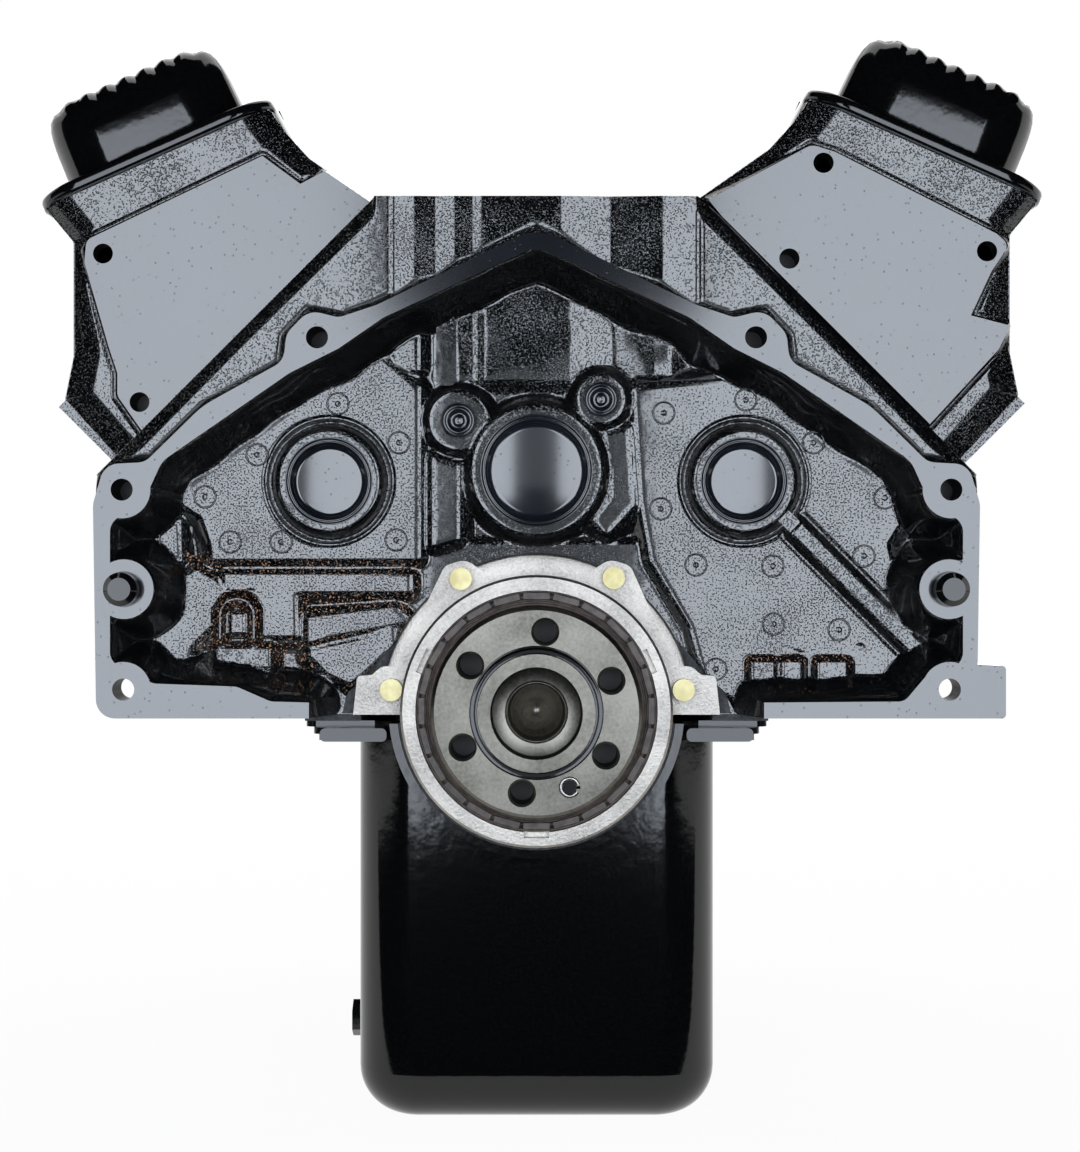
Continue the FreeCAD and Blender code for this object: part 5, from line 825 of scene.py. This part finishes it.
# builds a plain mesh piece on the block from a node tree and the values of its named inputs
def builtByNodes(name, tree, values, slot, points=()):
    mesh = bpy.data.meshes.new(name)
    mesh.from_pydata([(x * mm, y * mm, z * mm) for x, y, z in points], [], [])
    piece = bpy.data.objects.new(name, mesh)
    bpy.context.scene.collection.objects.link(piece)
    modifier = piece.modifiers.new("build", "NODES")
    modifier.node_group = tree
    values["Material"] = materials[slot]
    for item in tree.interface.items_tree:
        if item.name in values:
            modifier[item.identifier] = values[item.name]
    graph = bpy.context.evaluated_depsgraph_get()
    made = bpy.data.meshes.new_from_object(piece.evaluated_get(graph))
    piece.modifiers.clear()
    piece.data = made
    made.name = name
    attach(piece, "block")


# a geometry tree with its named inputs, and the outputs of its group input
def nodeTree(name, inputs):
    tree = bpy.data.node_groups.new(name, "GeometryNodeTree")
    tree.interface.new_socket("Geometry", in_out="INPUT", socket_type="NodeSocketGeometry")
    for label, kind in inputs:
        tree.interface.new_socket(label, in_out="INPUT", socket_type=kind)
    tree.interface.new_socket("Geometry", in_out="OUTPUT", socket_type="NodeSocketGeometry")
    return tree, tree.nodes.new("NodeGroupInput").outputs


# ends a tree with real geometry that wears its material
def endTree(tree, geometry, material):
    real = addNode(tree, "GeometryNodeRealizeInstances", Geometry=geometry)
    finish = addNode(tree, "GeometryNodeSetMaterial", Geometry=real.outputs[0], Material=material)
    addNode(tree, "NodeGroupOutput", Geometry=finish.outputs[0])


# the round marks that the core box's pins leave on the wall
markLook = {"radiusMm": 5.2, "wireMm": 0.55, "dotMm": 1.6, "dotFlat": 0.3, "standMm": 0.1}
markPlaces = [
    (-95.9, 147.1), (-66.4, 128.3), (-134.9, 122.5), (-160.0, 102.2), (-147.9, 80.4), (-123.3, 80.4),
    (-67.8, 81.4), (-186.8, 81.4), (61.4, 142.7), (59.9, 96.4), (50.8, 78.5), (76.9, 69.3), (114.0, 68.8),
    (158.0, 73.6), (168.1, 101.7), (133.6, 128.3), (101.0, 149.0), (114.4, 40.8), (146.0, 38.0),
    (86.5, 19.0), (195.0, 82.8), (196.4, 34.0), (75.4, 167.3), (43.9, 169.0),
]


def markTree():
    tree, given = nodeTree("core_pin_marks", [
        ("Radius", "NodeSocketFloat"), ("Wire", "NodeSocketFloat"), ("Dot", "NodeSocketFloat"),
        ("Material", "NodeSocketMaterial"),
    ])
    circle = addNode(tree, "GeometryNodeCurvePrimitiveCircle", Resolution=24, Radius=given["Radius"])
    wire = addNode(tree, "GeometryNodeCurvePrimitiveCircle", Resolution=6, Radius=given["Wire"])
    ring = addNode(tree, "GeometryNodeCurveToMesh", Curve=circle.outputs[0], Profile_Curve=wire.outputs[0])
    dot = addNode(tree, "GeometryNodeMeshIcoSphere", Radius=given["Dot"], Subdivisions=2)
    flat = addNode(
        tree, "GeometryNodeTransform", Geometry=dot.outputs[0], Scale=(1, 1, markLook["dotFlat"]),
    )
    both = addNode(tree, "GeometryNodeJoinGeometry", Geometry=ring.outputs[0])
    tree.links.new(flat.outputs[0], both.inputs[0])
    facing = addNode(
        tree, "GeometryNodeTransform", Geometry=both.outputs[0], Rotation=(math.radians(90), 0, 0),
    )
    spread = addNode(
        tree, "GeometryNodeInstanceOnPoints", Points=given["Geometry"], Instance=facing.outputs[0],
    )
    endTree(tree, spread.outputs[0], given["Material"])
    return tree


# the wall's level under a mark: on a plateau or on the floor
def wallDepth(x, z):
    px, pz = np.array([x]), np.array([z])
    nearest = min(float(outlineDistance(px, pz, corners)[0]) for corners in plateaus)
    return pocketLook["plateau"] if nearest < 0.5 else pocketLook["floor"]


markPoints = [(x, wallDepth(x, z) + markLook["standMm"], z) for x, z in markPlaces]
markValues = {
    "Radius": markLook["radiusMm"] * mm, "Wire": markLook["wireMm"] * mm, "Dot": markLook["dotMm"] * mm,
}
builtByNodes("core_pin_marks", markTree(), markValues, "cast_black", markPoints)
print("core pin marks placed")

# the rear crank seal: moulded blocks round a stepped face, whose steps are radius and depth from its rear
sealLook = {"blocks": 24, "blockMm": (12.4, 2.9, 2.6), "circleMm": 54.5, "blockY": 2.2}
sealSteps = [
    (49.62, 8), (49.62, 1.5), (50.2, 0.6), (50.9, 0.6), (51.3, 3.4), (52.1, 3.4), (52.4, 1.2), (52.8, 1.2),
    (52.9, 5.0), (56.1, 5.0), (56.2, 0.2), (57.1, 0.2), (57.15, 6),
]
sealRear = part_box("rear_crank_seal")[0].y / mm
sealFace = turned("rear_seal_face", [(radius, sealRear + y) for radius, y in sealSteps], "seal_rubber")
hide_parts("rear_crank_seal")


def sealTree():
    tree, given = nodeTree("seal_blocks", [
        ("Blocks", "NodeSocketInt"), ("Circle", "NodeSocketFloat"), ("Size", "NodeSocketVector"),
        ("Place", "NodeSocketVector"), ("Material", "NodeSocketMaterial"),
    ])
    circle = addNode(tree, "GeometryNodeMeshCircle", Vertices=given["Blocks"], Radius=given["Circle"])
    block = addNode(tree, "GeometryNodeMeshCube", Size=given["Size"])
    index = addNode(tree, "GeometryNodeInputIndex")
    turn = addNode(tree, "ShaderNodeMath", {"operation": "DIVIDE"}, at0=math.tau, at1=given["Blocks"])
    angle = addNode(
        tree, "ShaderNodeMath", {"operation": "MULTIPLY"}, at0=index.outputs[0], at1=turn.outputs[0],
    )
    quarter = addNode(tree, "ShaderNodeMath", {"operation": "ADD"}, at0=angle.outputs[0], at1=math.pi / 2)
    spin = addNode(tree, "ShaderNodeCombineXYZ", Z=quarter.outputs[0])
    spread = addNode(
        tree, "GeometryNodeInstanceOnPoints", Points=circle.outputs[0], Instance=block.outputs[0],
        Rotation=spin.outputs[0],
    )
    stand = addNode(
        tree, "GeometryNodeTransform", Geometry=spread.outputs[0], Translation=given["Place"],
        Rotation=(math.radians(90), 0, 0),
    )
    endTree(tree, stand.outputs[0], given["Material"])
    return tree


builtByNodes("rear_seal_blocks", sealTree(), {
    "Blocks": sealLook["blocks"], "Circle": sealLook["circleMm"] * mm,
    "Size": [s * mm for s in sealLook["blockMm"]], "Place": (0, (sealRear + sealLook["blockY"]) * mm, 0),
}, "seal_rubber")
print("rear seal moulded")

# camera, as the photograph was taken: level and straight at the flywheel end
cameraLook = {"xMm": 1.65, "yMm": -998.5, "zMm": 64.0, "lensMm": 66.75, "sensorMm": 36}
camera = bpy.data.objects.new("camera", bpy.data.cameras.new("camera"))
camera.location = (cameraLook["xMm"] * mm, cameraLook["yMm"] * mm, cameraLook["zMm"] * mm)
camera.rotation_euler = (math.radians(90), 0, 0)
camera.data.lens = cameraLook["lensMm"]
camera.data.sensor_width = cameraLook["sensorMm"]
camera.data.clip_start = 0.05
bpy.context.scene.collection.objects.link(camera)
bpy.context.scene.camera = camera

# studio, in metres: soft panels either side of the camera, black flags round them, pale floor
studioLook = {
    "front": 6.6, "middle": 0.7, "side": 1.2, "top": 1.9, "behind": 1.4, "fill": 0.14, "glow": (0.95, 1.0),
    "glowReach": (0.5, 1.6), "frontY": -1.15, "cool": "#e4ecf7", "paper": "#fafafa", "flag": "#0a0a0a",
}


# a soft panel facing along its aim, of a given radiance
def panel(name, place, aim, size, radiance, colour="#ffffff"):
    light = bpy.data.lights.new(name, "AREA")
    light.shape = "RECTANGLE"
    light.size, light.size_y = size
    light.energy = radiance * math.pi * size[0] * size[1]
    light.color = hexColour(colour)[:3]
    lamp = bpy.data.objects.new(name, light)
    lamp.location = place
    lamp.rotation_euler = (Vector(aim) - Vector(place)).to_track_quat("-Z", "Y").to_euler()
    bpy.context.scene.collection.objects.link(lamp)


# a cool panel beside the camera, square to the engine's rear
def frontPanel(name, x, z, size, radiance):
    panel(name, (x, studioLook["frontY"], z), (x, 0, z), size, radiance, studioLook["cool"])


for side, hand in (("left", -1), ("right", 1)):
    frontPanel(f"front_{side}", hand * 0.3725, 0.19, (0.415, 0.77), studioLook["front"])
    frontPanel(f"front_low_{side}", hand * 0.1375, 0.0625, (0.055, 0.515), studioLook["front"])
    panel(f"side_{side}", (hand * 1.7, 0.8, 0.6), (0, 0.4, 0.1), (1.5, 1.5), studioLook["side"])
frontPanel("front_middle", 0, 0.03, (0.22, 0.45), studioLook["middle"])
panel("overhead", (0, 0.8, 1.8), (0, 0.4, 0), (1.8, 1.6), studioLook["top"])
panel("behind", (0, 1.9, 0.7), (0, 0, 0.1), (1.8, 1.4), studioLook["behind"])


# white to the camera and in reflections, and a plain level for everything else
def whiteTo(tree, plainOutput, share):
    paths = tree.nodes.new("ShaderNodeLightPath")
    seen = addNode(
        tree, "ShaderNodeMath", {"operation": "MAXIMUM"},
        at0=paths.outputs["Is Camera Ray"], at1=paths.outputs["Is Glossy Ray"],
    )
    seen = addNode(
        tree, "ShaderNodeMath", {"operation": "MAXIMUM"},
        at0=seen.outputs[0], at1=paths.outputs["Is Transmission Ray"],
    )
    amount = addNode(tree, "ShaderNodeMath", {"operation": "MULTIPLY"}, at0=seen.outputs[0], at1=share)
    white = addNode(tree, "ShaderNodeEmission", Color=(1, 1, 1, 1), Strength=1.0)
    mixed = addNode(tree, "ShaderNodeMixShader", Fac=amount.outputs[0], at1=plainOutput, at2=white.outputs[0])
    return mixed.outputs[0]


world = bpy.data.worlds.new("studio")
bpy.context.scene.world = world
world.use_nodes = True
worldTree = world.node_tree
worldTree.nodes.clear()
fill = addNode(worldTree, "ShaderNodeBackground", Color=(1, 1, 1, 1), Strength=studioLook["fill"])
addNode(worldTree, "ShaderNodeOutputWorld", Surface=whiteTo(worldTree, fill.outputs[0], 1.0))


# a flat sheet of the studio; a glow grows with the distance from the engine
def studioSheet(name, corners, colour, glow=None):
    mesh = bpy.data.meshes.new(name)
    mesh.from_pydata(corners, [], [(0, 1, 2, 3)])
    sheet = bpy.data.objects.new(name, mesh)
    bpy.context.scene.collection.objects.link(sheet)
    material = bpy.data.materials.new(name)
    material.use_nodes = True
    tree = material.node_tree
    tree.nodes.clear()
    surface = addNode(tree, "ShaderNodeBsdfDiffuse", Color=hexColour(colour)).outputs[0]
    if glow:
        coords = tree.nodes.new("ShaderNodeTexCoord").outputs["Object"]
        reach = addNode(tree, "ShaderNodeVectorMath", {"operation": "LENGTH"}, Vector=coords).outputs["Value"]
        near, far = studioLook["glowReach"]
        share = addNode(
            tree, "ShaderNodeMapRange", Value=reach, From_Min=near, From_Max=far,
            To_Min=glow[0], To_Max=glow[1],
        )
        surface = whiteTo(tree, surface, share.outputs[0])
    addNode(tree, "ShaderNodeOutputMaterial", Surface=surface)
    mesh.materials.append(material)
    return sheet


ground = cadBox[0][2]
paper = [(-4, -4, ground), (4, -4, ground), (4, 4, ground), (-4, 4, ground)]
studioSheet("floor", paper, studioLook["paper"], studioLook["glow"])

# the black flags show only in reflections, and keep the gloss deep
wide, front, back, top, lifted = 2.2, -1.4, 2.2, 2.3, ground + 0.002
flags = {
    "front_flag": [(-wide, front, ground), (wide, front, ground), (wide, front, top), (-wide, front, top)],
    "left_flag": [(-wide, front, ground), (-wide, back, ground), (-wide, back, top), (-wide, front, top)],
    "right_flag": [(wide, front, ground), (wide, back, ground), (wide, back, top), (wide, front, top)],
    "top_flag": [(-wide, front, top), (wide, front, top), (wide, back, top), (-wide, back, top)],
    "floor_flag": [(-1.2, -1.39, lifted), (1.2, -1.39, lifted), (1.2, -0.03, lifted), (-1.2, -0.03, lifted)],
}
for name, corners in flags.items():
    flag = studioSheet(name, corners, studioLook["flag"])
    flag.visible_camera = False
    flag.visible_diffuse = False
    flag.visible_shadow = False
print("studio set")

bpy.context.scene.view_settings.view_transform = "Standard"
